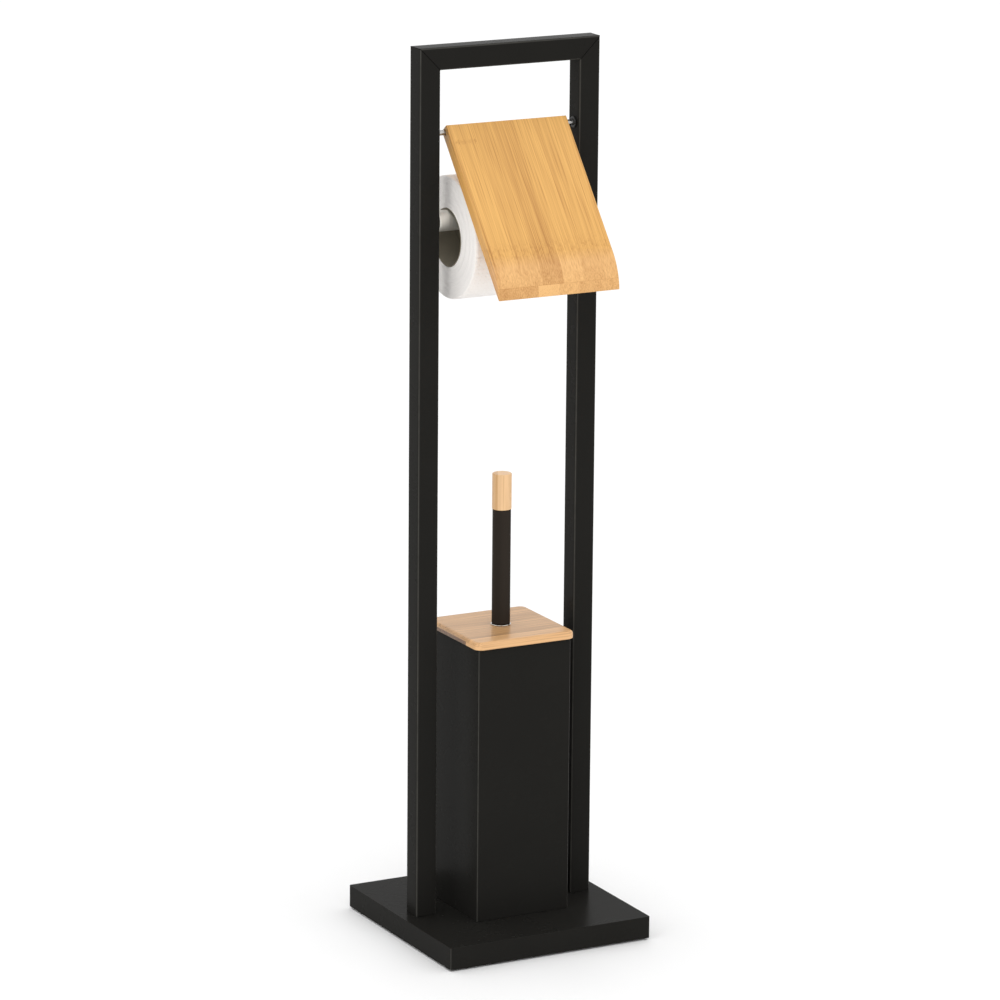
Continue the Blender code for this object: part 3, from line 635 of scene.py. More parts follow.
spindle_axis = middle("spindle_outer").z
brushed_steel = steel("brushed_steel", BRUSHED_STEEL, 0.46, (1400, 60, 60))
for half, body, side in (("spindle_outer", "stand", -1), ("spindle_inner", "spindle_end", 1)):
    low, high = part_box(half)
    radius = (high.z - low.z) / 2
    points = []
    for corner in corners_of(half):
        points.append((abs(corner.x), math.hypot(corner.y, corner.z - spindle_axis)))
    far = max(reach for reach, _ in points)
    stud = max(distance for reach, distance in points if reach > far - 1e-5)
    shoulder = max(reach for reach, distance in points if distance > stud * 1.5 and reach < far)
    mouth = low.x if side > 0 else high.x
    rim = SPINDLE_RIM
    profile = [
        (0, side * far), (stud - STUD_CHAMFER, side * far),
        (stud, side * (far - STUD_CHAMFER)), (stud, side * shoulder),
    ]
    for i in range(5):
        angle = math.pi / 2 * i / 4
        out = radius - rim * (1 - math.sin(angle))
        profile.append((out, side * (shoulder - rim * (1 - math.cos(angle)))))
    wall = radius - SPINDLE_WALL
    bottom = side * (shoulder - SPINDLE_END)
    profile += [(radius, mouth), (wall, mouth), (wall, bottom), (0, bottom)]
    mesh = laid(turned(profile, 96, False), 0, spindle_axis)
    shown(f"{half}_steel", mesh, brushed_steel, body, "brushed_steel", half)

spring_low, spring_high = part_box("spindle_spring")
spring_tree, sizes = new_tree(
    "coil_spring", Turns=7.0, Radius=0.006, Wire=0.0006, Length=0.03,
    Start="Vector", Finish="Material",
)
inputs = {"Resolution": 32, "Rotations": sizes["Turns"]}
coil = place(spring_tree, "GeometryNodeCurveSpiral", inputs)
for key, size in (("Start Radius", "Radius"), ("End Radius", "Radius"), ("Height", "Length")):
    spring_tree.links.new(sizes[size], coil.inputs[key])
wire = swept_round(spring_tree, coil.outputs[0], sizes["Wire"], 10)
inputs = {0: wire, "Translation": sizes["Start"], "Rotation": (0, math.pi / 2, 0)}
lying = place(spring_tree, "GeometryNodeTransform", inputs)
finish_tree(spring_tree, lying.outputs[0], sizes["Finish"])
spring_radius = (spring_high.z - spring_low.z) / 2 - SPRING_WIRE
spring_length = spring_high.x - spring_low.x - 2 * SPRING_WIRE
mesh = grown(
    "spring", spring_tree, Turns=float(SPRING_TURNS), Radius=spring_radius, Wire=SPRING_WIRE,
    Length=spring_length, Start=(spring_low.x + SPRING_WIRE, 0, spindle_axis), Finish=drawn_steel,
)
spring = shown(
    "spindle_spring_wire", mesh, drawn_steel, "stand", "steel", "spindle_spring", sharp=60
)
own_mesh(spring)


# ---------------------------------------------------------------------------------------------
# Paper roll: two-ply tissue, embossed in small dots and wound on a tube of grey board. The cut
# ends of the winding never lie quite level, and the last sheet's edge lies down on the roll.

TISSUE = (0.90, 0.865, 0.83)
# Painted shade: the core's grey is set darker than the board's own, for the shade inside the bore.
BOARD_GREY_AND_SHADE = (0.24, 0.21, 0.155)
SHEET_STEP = 0.00045  # how far the last sheet stands above the one before
SHEET_LENGTH = 0.120
ROLL_SHOULDER = 0.0022
EMBOSS_PITCH = 0.0042
EMBOSS_DEPTH = 0.00035
WINDING_STEP = 0.00016  # how unevenly the wound edges lie
WINDINGS = 44
ROUND_STEPS = 160
CORE_EDGE = 0.00025


def tissue(name, axis, pitch):
    """Tissue paper: dots and a perforation on the outside, wound edges on the ends."""
    finish, tree, shader = new_finish(name, 0.95, Sheen_Weight=0.25, Sheen_Roughness=0.6, IOR=1.35)
    point = object_point(tree)
    fluff = noise(tree, point, 1900, 4, 0.7)
    cloud = noise(tree, point, 45, 3)
    wrap = place(tree, "ShaderNodeUVMap", uv_map="wrap").outputs[0]
    scaled = pulled(tree, wrap, (1 / pitch, 1 / pitch, 0))
    inputs = {"Vector": scaled, "Randomness": 0.0, "Scale": 1.0}
    dots = place(tree, "ShaderNodeTexVoronoi", inputs, voronoi_dimensions="2D")
    dimple = spread(tree, dots.outputs["Distance"], 0.0, 1.0, 0.12, 0.30)
    flat = place(tree, "ShaderNodeSeparateXYZ", {0: wrap}).outputs
    sheet = sums(tree, "FRACT", sums(tree, "DIVIDE", flat["X"], SHEET_LENGTH))
    off = sums(tree, "ABSOLUTE", sums(tree, "SUBTRACT", sheet, 0.5))
    tear = spread(tree, off, 1, 0, 0.002, 0.005)
    teeth = sums(tree, "FRACT", sums(tree, "MULTIPLY", flat["Y"], 500.0))
    dash = sums(tree, "GREATER_THAN", teeth, 0.35)
    torn = sums(tree, "MULTIPLY", tear, dash)

    # On the ends, the wound edges show as fine rings round the axis.
    seen = place(tree, "ShaderNodeSeparateXYZ", {0: object_point(tree, (0, 0, 0), axis)}).outputs
    high = sums(tree, "POWER", seen["Z"], 2.0)
    radius = sums(tree, "SQRT", sums(tree, "ADD", sums(tree, "POWER", seen["Y"], 2.0), high))
    rise = sums(tree, "MULTIPLY", radius, 2400.0)
    around = place(tree, "ShaderNodeCombineXYZ", {0: rise}).outputs[0]
    slow = pulled(tree, point, (30.0, 30.0, 30.0))
    mixed = place(tree, "ShaderNodeVectorMath", {0: around, 1: slow}, operation="ADD").outputs[0]
    rings = noise(tree, mixed, 1, 3, 0.7)
    facing = place(tree, "ShaderNodeTexCoord").outputs["Normal"]
    normal = place(tree, "ShaderNodeSeparateXYZ", {0: facing})
    end = spread(tree, sums(tree, "ABSOLUTE", normal.outputs["X"]), 0, 1, 0.75, 0.95)

    grey = tuple(value * 0.87 for value in TISSUE)
    white = tint(tree, cloud, tuple(value * 0.96 for value in TISSUE), TISSUE)
    shaded = sums(tree, "MULTIPLY", end, spread(tree, rings, 0.6, 0, 0.35, 0.6))
    ringed = tint(tree, shaded, white, grey)
    dented = tint(tree, sums(tree, "MULTIPLY", torn, 0.35), ringed, grey)
    tree.links.new(dented, shader.inputs["Base Color"])
    outside = sums(tree, "SUBTRACT", sums(tree, "MULTIPLY", dimple, 0.75), torn)
    relief = place(tree, "ShaderNodeMix", {0: end, 2: outside, 3: rings}).outputs[0]
    rough = sums(tree, "MULTIPLY_ADD", fluff, 0.35, relief)
    bump(tree, shader, rough, EMBOSS_DEPTH)
    return finish


paper_low, paper_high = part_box("paper_roll")
paper_axis = middle("paper_roll")
paper_radius = (paper_high.z - paper_low.z) / 2
paper_half = (paper_high.x - paper_low.x) / 2
core_low, core_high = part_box("paper_core")
core_radius = (core_high.z - core_low.z) / 2
chance = np.random.default_rng(11)
bore = core_radius + 0.0002

# The section of the roll, from the bore out over one end, along the outside and back.
section = []
for i in range(WINDINGS):
    share = i / (WINDINGS - 1)
    radius = bore + (paper_radius - ROLL_SHOULDER - bore) * share
    section.append((radius, -1, chance.uniform(0, WINDING_STEP)))
for i in range(1, 6):
    angle = math.pi / 2 * i / 6
    radius = paper_radius - ROLL_SHOULDER * (1 - math.sin(angle))
    section.append((radius, -1, ROLL_SHOULDER * (1 - math.cos(angle))))
long_run = [(paper_radius, 0, -paper_half * 0.95 + paper_half * 1.9 * i / 20) for i in range(21)]
mirrored = []
for radius, _, inset in section[::-1]:
    mirrored.append((radius, 1, chance.uniform(0, WINDING_STEP) if inset < 0.0003 else inset))
section = section + long_run + mirrored

mesh = bmesh.new()
wrap_layer = mesh.loops.layers.uv.new("wrap")
waves = []
for _ in range(4):
    waves.append((chance.integers(2, 7), chance.uniform(0, math.tau), chance.uniform(0.4, 1.0)))
columns = []
for step in range(ROUND_STEPS + 1):
    # The winding closes on itself with a step, where the last sheet ends.
    turn = step / ROUND_STEPS
    angle = math.tau * turn - 2.2
    lift = math.exp(-((1 - turn) / 0.02)) * 0.55
    column = []
    for row, (radius, side, along) in enumerate(section):
        share = (radius - bore) / (paper_radius - bore)
        soft = 0
        for count, start, size in waves:
            soft += size * math.sin(count * angle + start + row * 0.21) / 4
        last_sheet = SHEET_STEP * (1 - min(1, turn * 0.35 + lift))
        out = radius - share**6 * (last_sheet + 0.00012 * (1 + soft))
        x = along
        if side:
            wave = 1 + math.sin(3 * angle + radius * 900)
            x = side * (paper_half - along - WINDING_STEP * wave)
        y, z = out * math.cos(angle), out * math.sin(angle)
        column.append(mesh.verts.new((paper_axis.x + x, y, paper_axis.z + z)))
    columns.append(column)
for step in range(ROUND_STEPS + 1):
    first, second = columns[step], columns[(step + 1) % (ROUND_STEPS + 1)]
    ends = (step / ROUND_STEPS, min(1, (step + 1) / ROUND_STEPS))
    for row in range(len(section)):
        after = (row + 1) % len(section)
        corners = [(first[row], 0), (second[row], 1), (second[after], 1), (first[after], 0)]
        face = mesh.faces.new([corner for corner, _ in corners])
        for held, (corner, which) in zip(face.loops, corners):
            held[wrap_layer].uv = (ends[which] * math.tau * paper_radius, corner.co.x)
bmesh.ops.recalc_face_normals(mesh, faces=mesh.faces)
paper = tissue("toilet_paper", tuple(paper_axis), EMBOSS_PITCH)
shown("wound_paper", mesh, paper, "roll", "toilet_paper", "paper_roll", sharp=50)


def grey_board(name, axis):
    """Grey board wound as a helix: a fine seam, fibres and specks. Its grey is darkened as painted
    shade for the shadowed bore.
    """
    finish, tree, shader = new_finish(name, 0.88)
    point = object_point(tree, (0, 0, 0), axis)
    at = place(tree, "ShaderNodeSeparateXYZ", {0: point}).outputs
    angle = sums(tree, "ARCTAN2", at["Z"], at["Y"])
    part = sums(tree, "DIVIDE", angle, math.tau)
    winding = sums(tree, "FRACT", sums(tree, "MULTIPLY_ADD", at["X"], 16.0, part))
    off = sums(tree, "ABSOLUTE", sums(tree, "SUBTRACT", winding, 0.5))
    seam = spread(tree, off, 1, 0, 0.004, 0.012)
    fibre = noise(tree, object_point(tree, scale=(300, 1100, 1100)), 1, 4, 0.7)
    specks = noise(tree, point, 2200, 2)
    darker = tuple(value * 0.75 for value in BOARD_GREY_AND_SHADE)
    shade = sums(tree, "MULTIPLY_ADD", specks, 0.4, sums(tree, "MULTIPLY", fibre, 0.7))
    shade = sums(tree, "SUBTRACT", shade, seam)
    tree.links.new(tint(tree, shade, darker, BOARD_GREY_AND_SHADE), shader.inputs["Base Color"])
    bump(tree, shader, sums(tree, "SUBTRACT", fibre, seam), 0.00008)
    return finish


core_bore = min(math.hypot(p.y, p.z - paper_axis.z) for p in corners_of("paper_core"))
core_half = (core_high.x - core_low.x) / 2
rim = [
    (core_bore, core_half - CORE_EDGE), (core_bore + CORE_EDGE, core_half),
    (core_radius - CORE_EDGE, core_half), (core_radius, core_half - CORE_EDGE),
]
core_profile = [(radius, -level) for radius, level in rim] + rim[::-1]
mesh = laid(turned(core_profile, 96), paper_axis.x, paper_axis.z)
cardboard = grey_board("core_cardboard", tuple(paper_axis))
shown("core_tube", mesh, cardboard, "roll", "core_cardboard", "paper_core")


# ---------------------------------------------------------------------------------------------
# Canister: a box folded from steel sheet, welded down one rear edge and along its floor, and
# powder coated like the frame. A grey plastic cup stands in it and catches the drips.

CANISTER_EDGE = 0.0003
SEAM_INSET = 0.0120  # from the canister's side
SEAM_SUNK = 0.00022  # how far the weld's middle lies under the back
SEAM_RADIUS = 0.0004
CUP_GREY = (0.30, 0.31, 0.31)
CUP_LIP = 0.0008
CUP_WALL = 0.0016
CUP_CORNER = 0.008
CUP_EDGE = 0.0004
CUP_FLOOR_ROUND = 0.005

mesh = softened("canister", CANISTER_EDGE, 2, 50)
shown("canister_box", mesh, black, "stand", "black_powder_coat", "canister")

can_low, can_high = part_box("canister")
seam_tree, sizes = new_tree(
    "fold_seam", Start="Vector", End="Vector", Radius=0.0004, Finish="Material"
)
inputs = {"Start": sizes["Start"], "End": sizes["End"]}
line = place(seam_tree, "GeometryNodeCurvePrimitiveLine", inputs).outputs[0]
finish_tree(seam_tree, swept_round(seam_tree, line, sizes["Radius"], 10), sizes["Finish"])
seam_x, seam_y = can_high.x - SEAM_INSET, can_high.y - SEAM_SUNK
mesh = grown(
    "seam", seam_tree, Start=(seam_x, seam_y, can_low.z + 0.001),
    End=(seam_x, seam_y, can_high.z - 0.001), Radius=SEAM_RADIUS, Finish=black,
)
shown("canister_weld", mesh, black, "stand", "black_powder_coat", sharp=60)


def rounded_square(size, corner, level, steps=10):
    """Points of a level square with rounded corners, round the Z axis."""
    ring = []
    for quarter in range(4):
        side_x = 1 if quarter in (0, 3) else -1
        side_y = 1 if quarter in (0, 1) else -1
        for i in range(steps):
            angle = math.pi / 2 * (quarter + i / (steps - 1))
            x = side_x * (size / 2 - corner) + corner * math.cos(angle)
            y = side_y * (size / 2 - corner) + corner * math.sin(angle)
            ring.append(Vector((x, y, level)))
    return ring


def skinned(rings, closed=False):
    """Bridges rings of points. The first and last are capped, or joined if closed."""
    mesh = bmesh.new()
    rows = [[mesh.verts.new(point) for point in ring] for ring in rings]
    pairs = list(zip(rows, rows[1:]))
    if closed:
        pairs.append((rows[-1], rows[0]))
    else:
        mesh.faces.new(rows[0])
        mesh.faces.new(rows[-1])
    for first, second in pairs:
        for i in range(len(first)):
            after = (i + 1) % len(first)
            mesh.faces.new((first[i], first[after], second[after], second[i]))
    bmesh.ops.recalc_face_normals(mesh, faces=mesh.faces)
    return mesh


cup_low, cup_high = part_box("canister_liner")
cup_size = cup_high.x - cup_low.x
half_up = (cup_low.z + cup_high.z) / 2
cup_floor = max(p.z for p in corners_of("canister_liner") if p.z < half_up)
bore = cup_size - 2 * CUP_WALL
bore_corner = CUP_CORNER - CUP_WALL
rings = [
    rounded_square(bore, bore_corner, cup_floor - CUP_WALL),
    rounded_square(bore, bore_corner, cup_low.z + CUP_EDGE),
    rounded_square(bore + 2 * CUP_EDGE, bore_corner, cup_low.z),
    rounded_square(cup_size - 2 * CUP_EDGE, CUP_CORNER, cup_low.z),
    rounded_square(cup_size, CUP_CORNER, cup_low.z + CUP_EDGE),
    rounded_square(cup_size, CUP_CORNER, cup_high.z - 0.0005),
]
for i in range(1, 8):
    angle = math.pi * i / 8
    size = cup_size - CUP_WALL + CUP_WALL * math.cos(angle)
    level = cup_high.z - CUP_LIP * (1 - math.sin(angle))
    rings.append(rounded_square(size, CUP_CORNER - CUP_WALL / 2, level))
rings.append(rounded_square(bore, bore_corner, cup_high.z - 0.001))
for i in range(6):
    angle = math.pi / 2 * i / 5
    drop = CUP_FLOOR_ROUND * (1 - math.sin(angle))
    size = bore - 2 * CUP_FLOOR_ROUND * (1 - math.cos(angle))
    rings.append(rounded_square(size, bore_corner, cup_floor + drop))
cup = moulded("grey_plastic", CUP_GREY, 0.42)
shown("drip_cup", skinned(rings), cup, "stand", "grey_plastic", "canister_liner", sharp=60)


# ---------------------------------------------------------------------------------------------
# Lid: a square of two-ply bamboo with rounded corners, rebated underneath to sit in the canister.
# The front edge carries a paler strip, whose tone is raised further as a painted highlight on the
# front edge. It is lacquered to a soft gloss, and drilled for the stem.

LID_COLOURS = (0.115, 0.042, 0.009), (0.74, 0.430, 0.195)
LID_STRIP = 0.0196
# Painted highlight: the strips at the front edge are set paler than their own pale wood, as the
# highlight on that edge.
LID_TONES = (1.0, 0.86, 0.62, 0.68, 0.60, 0.66, 0.62)  # upper ply, front to back
LID_LOWER_TONES = (1.0, 1.05, 0.0, 0.05, 0.0, 0.08, 0.02)
LID_EDGE = 0.0028
LID_CORNER = 0.007
LID_UNDER_EDGE = 0.0004
LID_SHIFT = -0.0074  # how far the strips' edges lie from the middle
REBATE_EDGE = 0.0003
REBATE_CORNER = 0.0035

lid_low, lid_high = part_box("lid")
lid_size = lid_high.x - lid_low.x
lid_points = corners_of("lid")
stem_hole = min(math.hypot(p.x, p.y) for p in lid_points)
lid_under = min(p.z for p in lid_points if abs(p.x) > lid_size / 2 - 1e-4)
rebate = 2 * max(p.x for p in lid_points if p.z < lid_low.z + 1e-5)


def holed(size, corner, level, radius):
    """Points of a circle that pair off with those of a rounded square."""
    ring = []
    for point in rounded_square(size, corner, level):
        angle = math.atan2(point.y, point.x)
        ring.append(Vector((radius * math.cos(angle), radius * math.sin(angle), level)))
    return ring


rings = [
    holed(rebate, REBATE_CORNER, lid_low.z, stem_hole),
    rounded_square(rebate - 2 * REBATE_EDGE, REBATE_CORNER - REBATE_EDGE, lid_low.z),
    rounded_square(rebate, REBATE_CORNER, lid_low.z + REBATE_EDGE),
    rounded_square(rebate, REBATE_CORNER, lid_under),
    rounded_square(lid_size - 2 * LID_UNDER_EDGE, LID_CORNER, lid_under),
    rounded_square(lid_size, LID_CORNER, lid_under + LID_UNDER_EDGE),
]
for i in range(9):
    angle = math.pi / 2 * i / 8
    inset = LID_EDGE * (1 - math.cos(angle))
    level = lid_high.z - LID_EDGE * (1 - math.sin(angle))
    rings.append(rounded_square(lid_size - 2 * inset, LID_CORNER - inset, level))
rings.append(rounded_square(lid_size - 2 * LID_EDGE - 0.0006, LID_CORNER - LID_EDGE, lid_high.z))
rings.append(holed(lid_size, LID_CORNER, lid_high.z, stem_hole + 0.0004))
rings.append(holed(lid_size, LID_CORNER, lid_high.z - 0.0004, stem_hole))
lid_glue = (0, LID_SHIFT, (lid_under + lid_high.z) / 2)
lid_bamboo = bamboo(
    "lid_bamboo", LID_STRIP, (LID_LOWER_TONES, LID_TONES), LID_COLOURS, (1, 0, 2),
    (0, 0, 0), lid_glue, ply_shift=0.30, gloss=0.3,
)
shown("lid_board", skinned(rings, closed=True), lid_bamboo, "brush", "bamboo", "lid", sharp=50)


# ---------------------------------------------------------------------------------------------
# Handle: a coated steel tube on a bright washer. A threaded block in its foot takes the stem, and
# a turned bamboo grip is pushed and glued into its upper end.

BRIGHT_STEEL = (0.74, 0.72, 0.68)
HANDLE_COAT = (0.026, 0.021, 0.017)
HANDLE_WALL = 0.001
TUBE_RIM = 0.00035
WASHER_FOOT = 0.0002
WASHER_EDGE = 0.0003
GRIP_COLOURS = (0.48, 0.25, 0.083), (0.79, 0.510, 0.268)
GRIP_STRIP = 0.0150
GRIP_TONES = (0.7, 0.7, 0.38, 0.88, 0.70, 0.7, 0.7)
GRIP_TURN = math.radians(28)
GRIP_SHIFT = (0.0062, 0.01935)
GRIP_FOOT = 0.0002
GRIP_ROUND = 0.0009

washer_low, washer_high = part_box("handle_washer")
washer_radius = (washer_high.x - washer_low.x) / 2
washer = [
    (stem_hole, washer_low.z), (washer_radius - WASHER_FOOT, washer_low.z),
    (washer_radius, washer_low.z + WASHER_FOOT), (washer_radius, washer_high.z - WASHER_EDGE),
    (washer_radius - WASHER_EDGE, washer_high.z), (stem_hole, washer_high.z),
]
polished = steel("polished_washer", BRIGHT_STEEL, 0.16, (500, 500, 500), 0.000002)
shown("handle_washer_steel", turned(washer), polished, "brush", "steel", "handle_washer")

tube_low, tube_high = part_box("handle_tube")
tube_radius = (tube_high.x - tube_low.x) / 2
bore = tube_radius - HANDLE_WALL
tube = [
    (bore, tube_low.z), (tube_radius - TUBE_RIM, tube_low.z),
    (tube_radius, tube_low.z + TUBE_RIM), (tube_radius, tube_high.z - TUBE_RIM),
    (tube_radius - TUBE_RIM, tube_high.z), (bore, tube_high.z),
]
handle_coat = powder_coat("handle_coat", HANDLE_COAT, 0.24, 1.0)
shown("handle_tube_coated", turned(tube), handle_coat, "brush", "black_powder_coat", "handle_tube")

grip_low, grip_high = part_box("handle_grip")
grip_radius = (grip_high.x - grip_low.x) / 2
grip_points = corners_of("handle_grip")
spigot = max(math.hypot(p.x, p.y) for p in grip_points if p.z < grip_low.z + 1e-5)
grip_foot = min(p.z for p in grip_points if math.hypot(p.x, p.y) > grip_radius - 1e-4)
grip = [(0, grip_low.z), (spigot, grip_low.z), (spigot, grip_foot)]
grip += [(grip_radius - GRIP_FOOT, grip_foot), (grip_radius, grip_foot + GRIP_FOOT)]
for i in range(7):
    angle = math.pi / 2 * i / 6
    out = grip_radius - GRIP_ROUND * (1 - math.cos(angle))
    grip.append((out, grip_high.z - GRIP_ROUND * (1 - math.sin(angle))))
grip += [(grip_radius - GRIP_ROUND - 0.0004, grip_high.z), (0, grip_high.z)]
grip_glue = (*GRIP_SHIFT, (grip_low.z + grip_high.z) / 2)
grip_bamboo = bamboo(
    "grip_bamboo", GRIP_STRIP, (GRIP_TONES, GRIP_TONES), GRIP_COLOURS, (0, 2, 1),
    (0, 0, GRIP_TURN), grip_glue, ply_shift=0.0,
)
shown("grip", turned(grip, 96, False), grip_bamboo, "brush", "bamboo", "handle_grip", sharp=50)


# ---------------------------------------------------------------------------------------------
# Brush: a steel stem screwed up through the lid, with a collar under it, pushed into a moulded
# head. Nylon bristles stand out of the head in rings of tufts, trimmed to a rounded outline.

NYLON_WHITE = (0.84, 0.84, 0.82)
BRISTLE_WHITE = (0.90, 0.90, 0.885)
HEAD_EDGE = 0.0003
STEM_CHAMFER = 0.0003
COLLAR_EDGE = 0.0004
COLLAR_TOP_EDGE = 0.0002
THREAD_CHAMFER = 0.0006
THREAD_PITCH = 0.0010
THREAD_DEPTH = 0.00035
TUFT_ROWS = 13
TUFTS_PER_ROW = 15
STRANDS_PER_TUFT = 22
STRAND_RADIUS = 0.00022
TUFT_SPREAD = 0.13
BRISTLE_ROUND = 0.016

stem_low, stem_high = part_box("brush_stem")
stem_points = [(math.hypot(p.x, p.y), p.z) for p in corners_of("brush_stem")]
collar_radius = max(radius for radius, _ in stem_points)
collar_levels = [level for radius, level in stem_points if radius > collar_radius - 1e-5]
thread_radius = max(radius for radius, level in stem_points if level > stem_high.z - 1e-5)
tip_radius = max(radius for radius, level in stem_points if level < stem_low.z + 1e-5)
head_low, head_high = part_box("brush_head")
under_collar = min(collar_levels) - 0.002
shaft_radius = max(radius for radius, level in stem_points if level < under_collar)
shaft_foot = min(level for radius, level in stem_points if radius > shaft_radius - 1e-5)
collar_foot, collar_top = min(collar_levels), max(collar_levels)
stem = [
    (0, stem_low.z), (tip_radius - STEM_CHAMFER, stem_low.z),
    (tip_radius, stem_low.z + STEM_CHAMFER), (tip_radius, shaft_foot),
    (shaft_radius - STEM_CHAMFER, shaft_foot), (shaft_radius, shaft_foot + STEM_CHAMFER),
    (shaft_radius, collar_foot), (collar_radius - COLLAR_EDGE, collar_foot),
    (collar_radius, collar_foot + COLLAR_EDGE), (collar_radius, collar_top - COLLAR_TOP_EDGE),
    (collar_radius - COLLAR_TOP_EDGE, collar_top), (thread_radius, collar_top),
]
threads = int((stem_high.z - collar_top - 0.002) / THREAD_PITCH)
for i in range(threads):
    level = collar_top + 0.001 + i * THREAD_PITCH
    stem += [(thread_radius, level), (thread_radius - THREAD_DEPTH, level + THREAD_PITCH / 2)]
stem += [(thread_radius, stem_high.z - THREAD_CHAMFER)]
stem += [(thread_radius - THREAD_CHAMFER, stem_high.z), (0, stem_high.z)]
stem_steel = steel("stem_steel", BARE_STEEL, 0.26, (900, 900, 40))
shown("brush_stem_steel", turned(stem, 64, False), stem_steel, "brush", "steel", "brush_stem")

white = moulded("white_plastic", NYLON_WHITE, 0.38)
mesh = softened("brush_head", HEAD_EDGE, 2, 50)
shown("brush_head_moulding", mesh, white, "brush", "white_plastic", "brush_head")


def bristle_nylon(name):
    """Round nylon strands: slightly see-through white, each a little different."""
    finish, tree, shader = new_finish(
        name, 0.42, IOR=1.53, Subsurface_Weight=0.15, Subsurface_Scale=0.001
    )
    strand = place(tree, "ShaderNodeAttribute", attribute_name="strand").outputs["Fac"]
    fine = noise(tree, object_point(tree), 900, 2)
    shade = sums(tree, "MULTIPLY_ADD", fine, 0.3, sums(tree, "MULTIPLY", strand, 0.7))
    grey = tuple(value * 0.80 for value in NYLON_WHITE)
    tree.links.new(tint(tree, shade, grey, BRISTLE_WHITE), shader.inputs["Base Color"])
    tree.links.new(spread(tree, strand, 0.34, 0.50), shader.inputs["Roughness"])
    return finish


bristle_tree, sizes = new_tree(
    "bristle_tufts", Rows=13, Tufts=15, Strands=22, Core=0.008, Reach=0.0365, Round=0.016,
    Low=0.0, High=0.1, Strand_Radius=0.0002, Spread=0.1, Finish="Material",
)


def number(operation, *values):
    return sums(bristle_tree, operation, *values)


def random_between(low, high, seed):
    inputs = {2: low, 3: high, "Seed": seed}
    return place(bristle_tree, "FunctionNodeRandomValue", inputs, data_type="FLOAT").outputs[1]


total = number("MULTIPLY", number("MULTIPLY", sizes["Rows"], sizes["Tufts"]), sizes["Strands"])
points = place(bristle_tree, "GeometryNodePoints", {"Count": total})
order = place(bristle_tree, "GeometryNodeInputIndex").outputs[0]
tuft = number("FLOOR", number("DIVIDE", order, sizes["Strands"]))
row = number("FLOOR", number("DIVIDE", tuft, sizes["Tufts"]))
share = number("DIVIDE", row, number("SUBTRACT", sizes["Rows"], 1.0))
offset = number("MULTIPLY", number("MODULO", row, 2.0), 0.5)
column = number("ADD", number("MODULO", tuft, sizes["Tufts"]), offset)
turn = number("MULTIPLY", number("DIVIDE", column, sizes["Tufts"]), math.tau)
turn = number("ADD", turn, random_between(-0.10, 0.10, 1))
span = number("SUBTRACT", sizes["High"], sizes["Low"])
inset = number("ADD", sizes["Low"], 0.004)
level = number("MULTIPLY_ADD", share, number("SUBTRACT", span, 0.008), inset)
level = number("ADD", level, random_between(-0.0009, 0.0009, 2))
# Strands near an end lean out past it, so that the outline is round.
lean = number("MULTIPLY", number("SUBTRACT", share, 0.5), 2.0)
lean = number("MULTIPLY", number("POWER", number("ABSOLUTE", lean), 5.0), number("SIGN", lean))
lean = number("MULTIPLY", lean, 0.12)
half_spread = number("MULTIPLY", sizes["Spread"], 0.5)
up_or_down = random_between(number("MULTIPLY", half_spread, -1.0), half_spread, 3)
lean = number("ADD", lean, up_or_down)
aside = random_between(number("MULTIPLY", sizes["Spread"], -1.0), sizes["Spread"], 4)
facing = number("ADD", turn, aside)
root_x = number("MULTIPLY", number("COSINE", turn), sizes["Core"])
root_y = number("MULTIPLY", number("SINE", turn), sizes["Core"])
root = place(bristle_tree, "ShaderNodeCombineXYZ", {0: root_x, 1: root_y, 2: level})
inputs = {0: number("COSINE", facing), 1: number("SINE", facing), 2: lean}
direction = place(bristle_tree, "ShaderNodeCombineXYZ", inputs)
# How far a strand runs before the trimmed outline, which is rounded at both ends.
from_foot = number("SUBTRACT", level, sizes["Low"])
from_end = number("MINIMUM", from_foot, number("SUBTRACT", sizes["High"], level))
into = number("SUBTRACT", sizes["Round"], number("MINIMUM", from_end, sizes["Round"]))
squared = number("SUBTRACT", number("POWER", sizes["Round"], 2.0), number("POWER", into, 2.0))
cut_back = number("SUBTRACT", sizes["Round"], number("SQRT", squared))
reach = number("SUBTRACT", number("SUBTRACT", sizes["Reach"], sizes["Core"]), cut_back)
reach = number("MULTIPLY", reach, random_between(0.94, 0.985, 5))
inputs = {0: points.outputs[0], "Position": root.outputs[0]}
spots = place(bristle_tree, "GeometryNodeSetPosition", inputs)
inputs = {"Vertices": 5, "Side Segments": 2, "Radius": sizes["Strand_Radius"], "Depth": 1.0}
strand = place(bristle_tree, "GeometryNodeMeshCylinder", inputs)
inputs = {0: strand.outputs[0], "Translation": (0, 0, 0.5)}
strand = place(bristle_tree, "GeometryNodeTransform", inputs)
inputs = {"Vector": direction.outputs[0]}
turned_out = place(bristle_tree, "FunctionNodeAlignRotationToVector", inputs)
as_long = place(bristle_tree, "ShaderNodeCombineXYZ", {0: 1.0, 1: 1.0, 2: reach}).outputs[0]
inputs = {
    "Points": spots.outputs[0], "Instance": strand.outputs[0],
    "Rotation": turned_out.outputs[0], "Scale": as_long,
}
copies = place(bristle_tree, "GeometryNodeInstanceOnPoints", inputs)
inputs = {0: copies.outputs[0], "Name": "strand", "Value": random_between(0.0, 1.0, 6)}
named = place(bristle_tree, "GeometryNodeStoreNamedAttribute", inputs, domain="INSTANCE")
finish_tree(bristle_tree, named.outputs[0], sizes["Finish"])

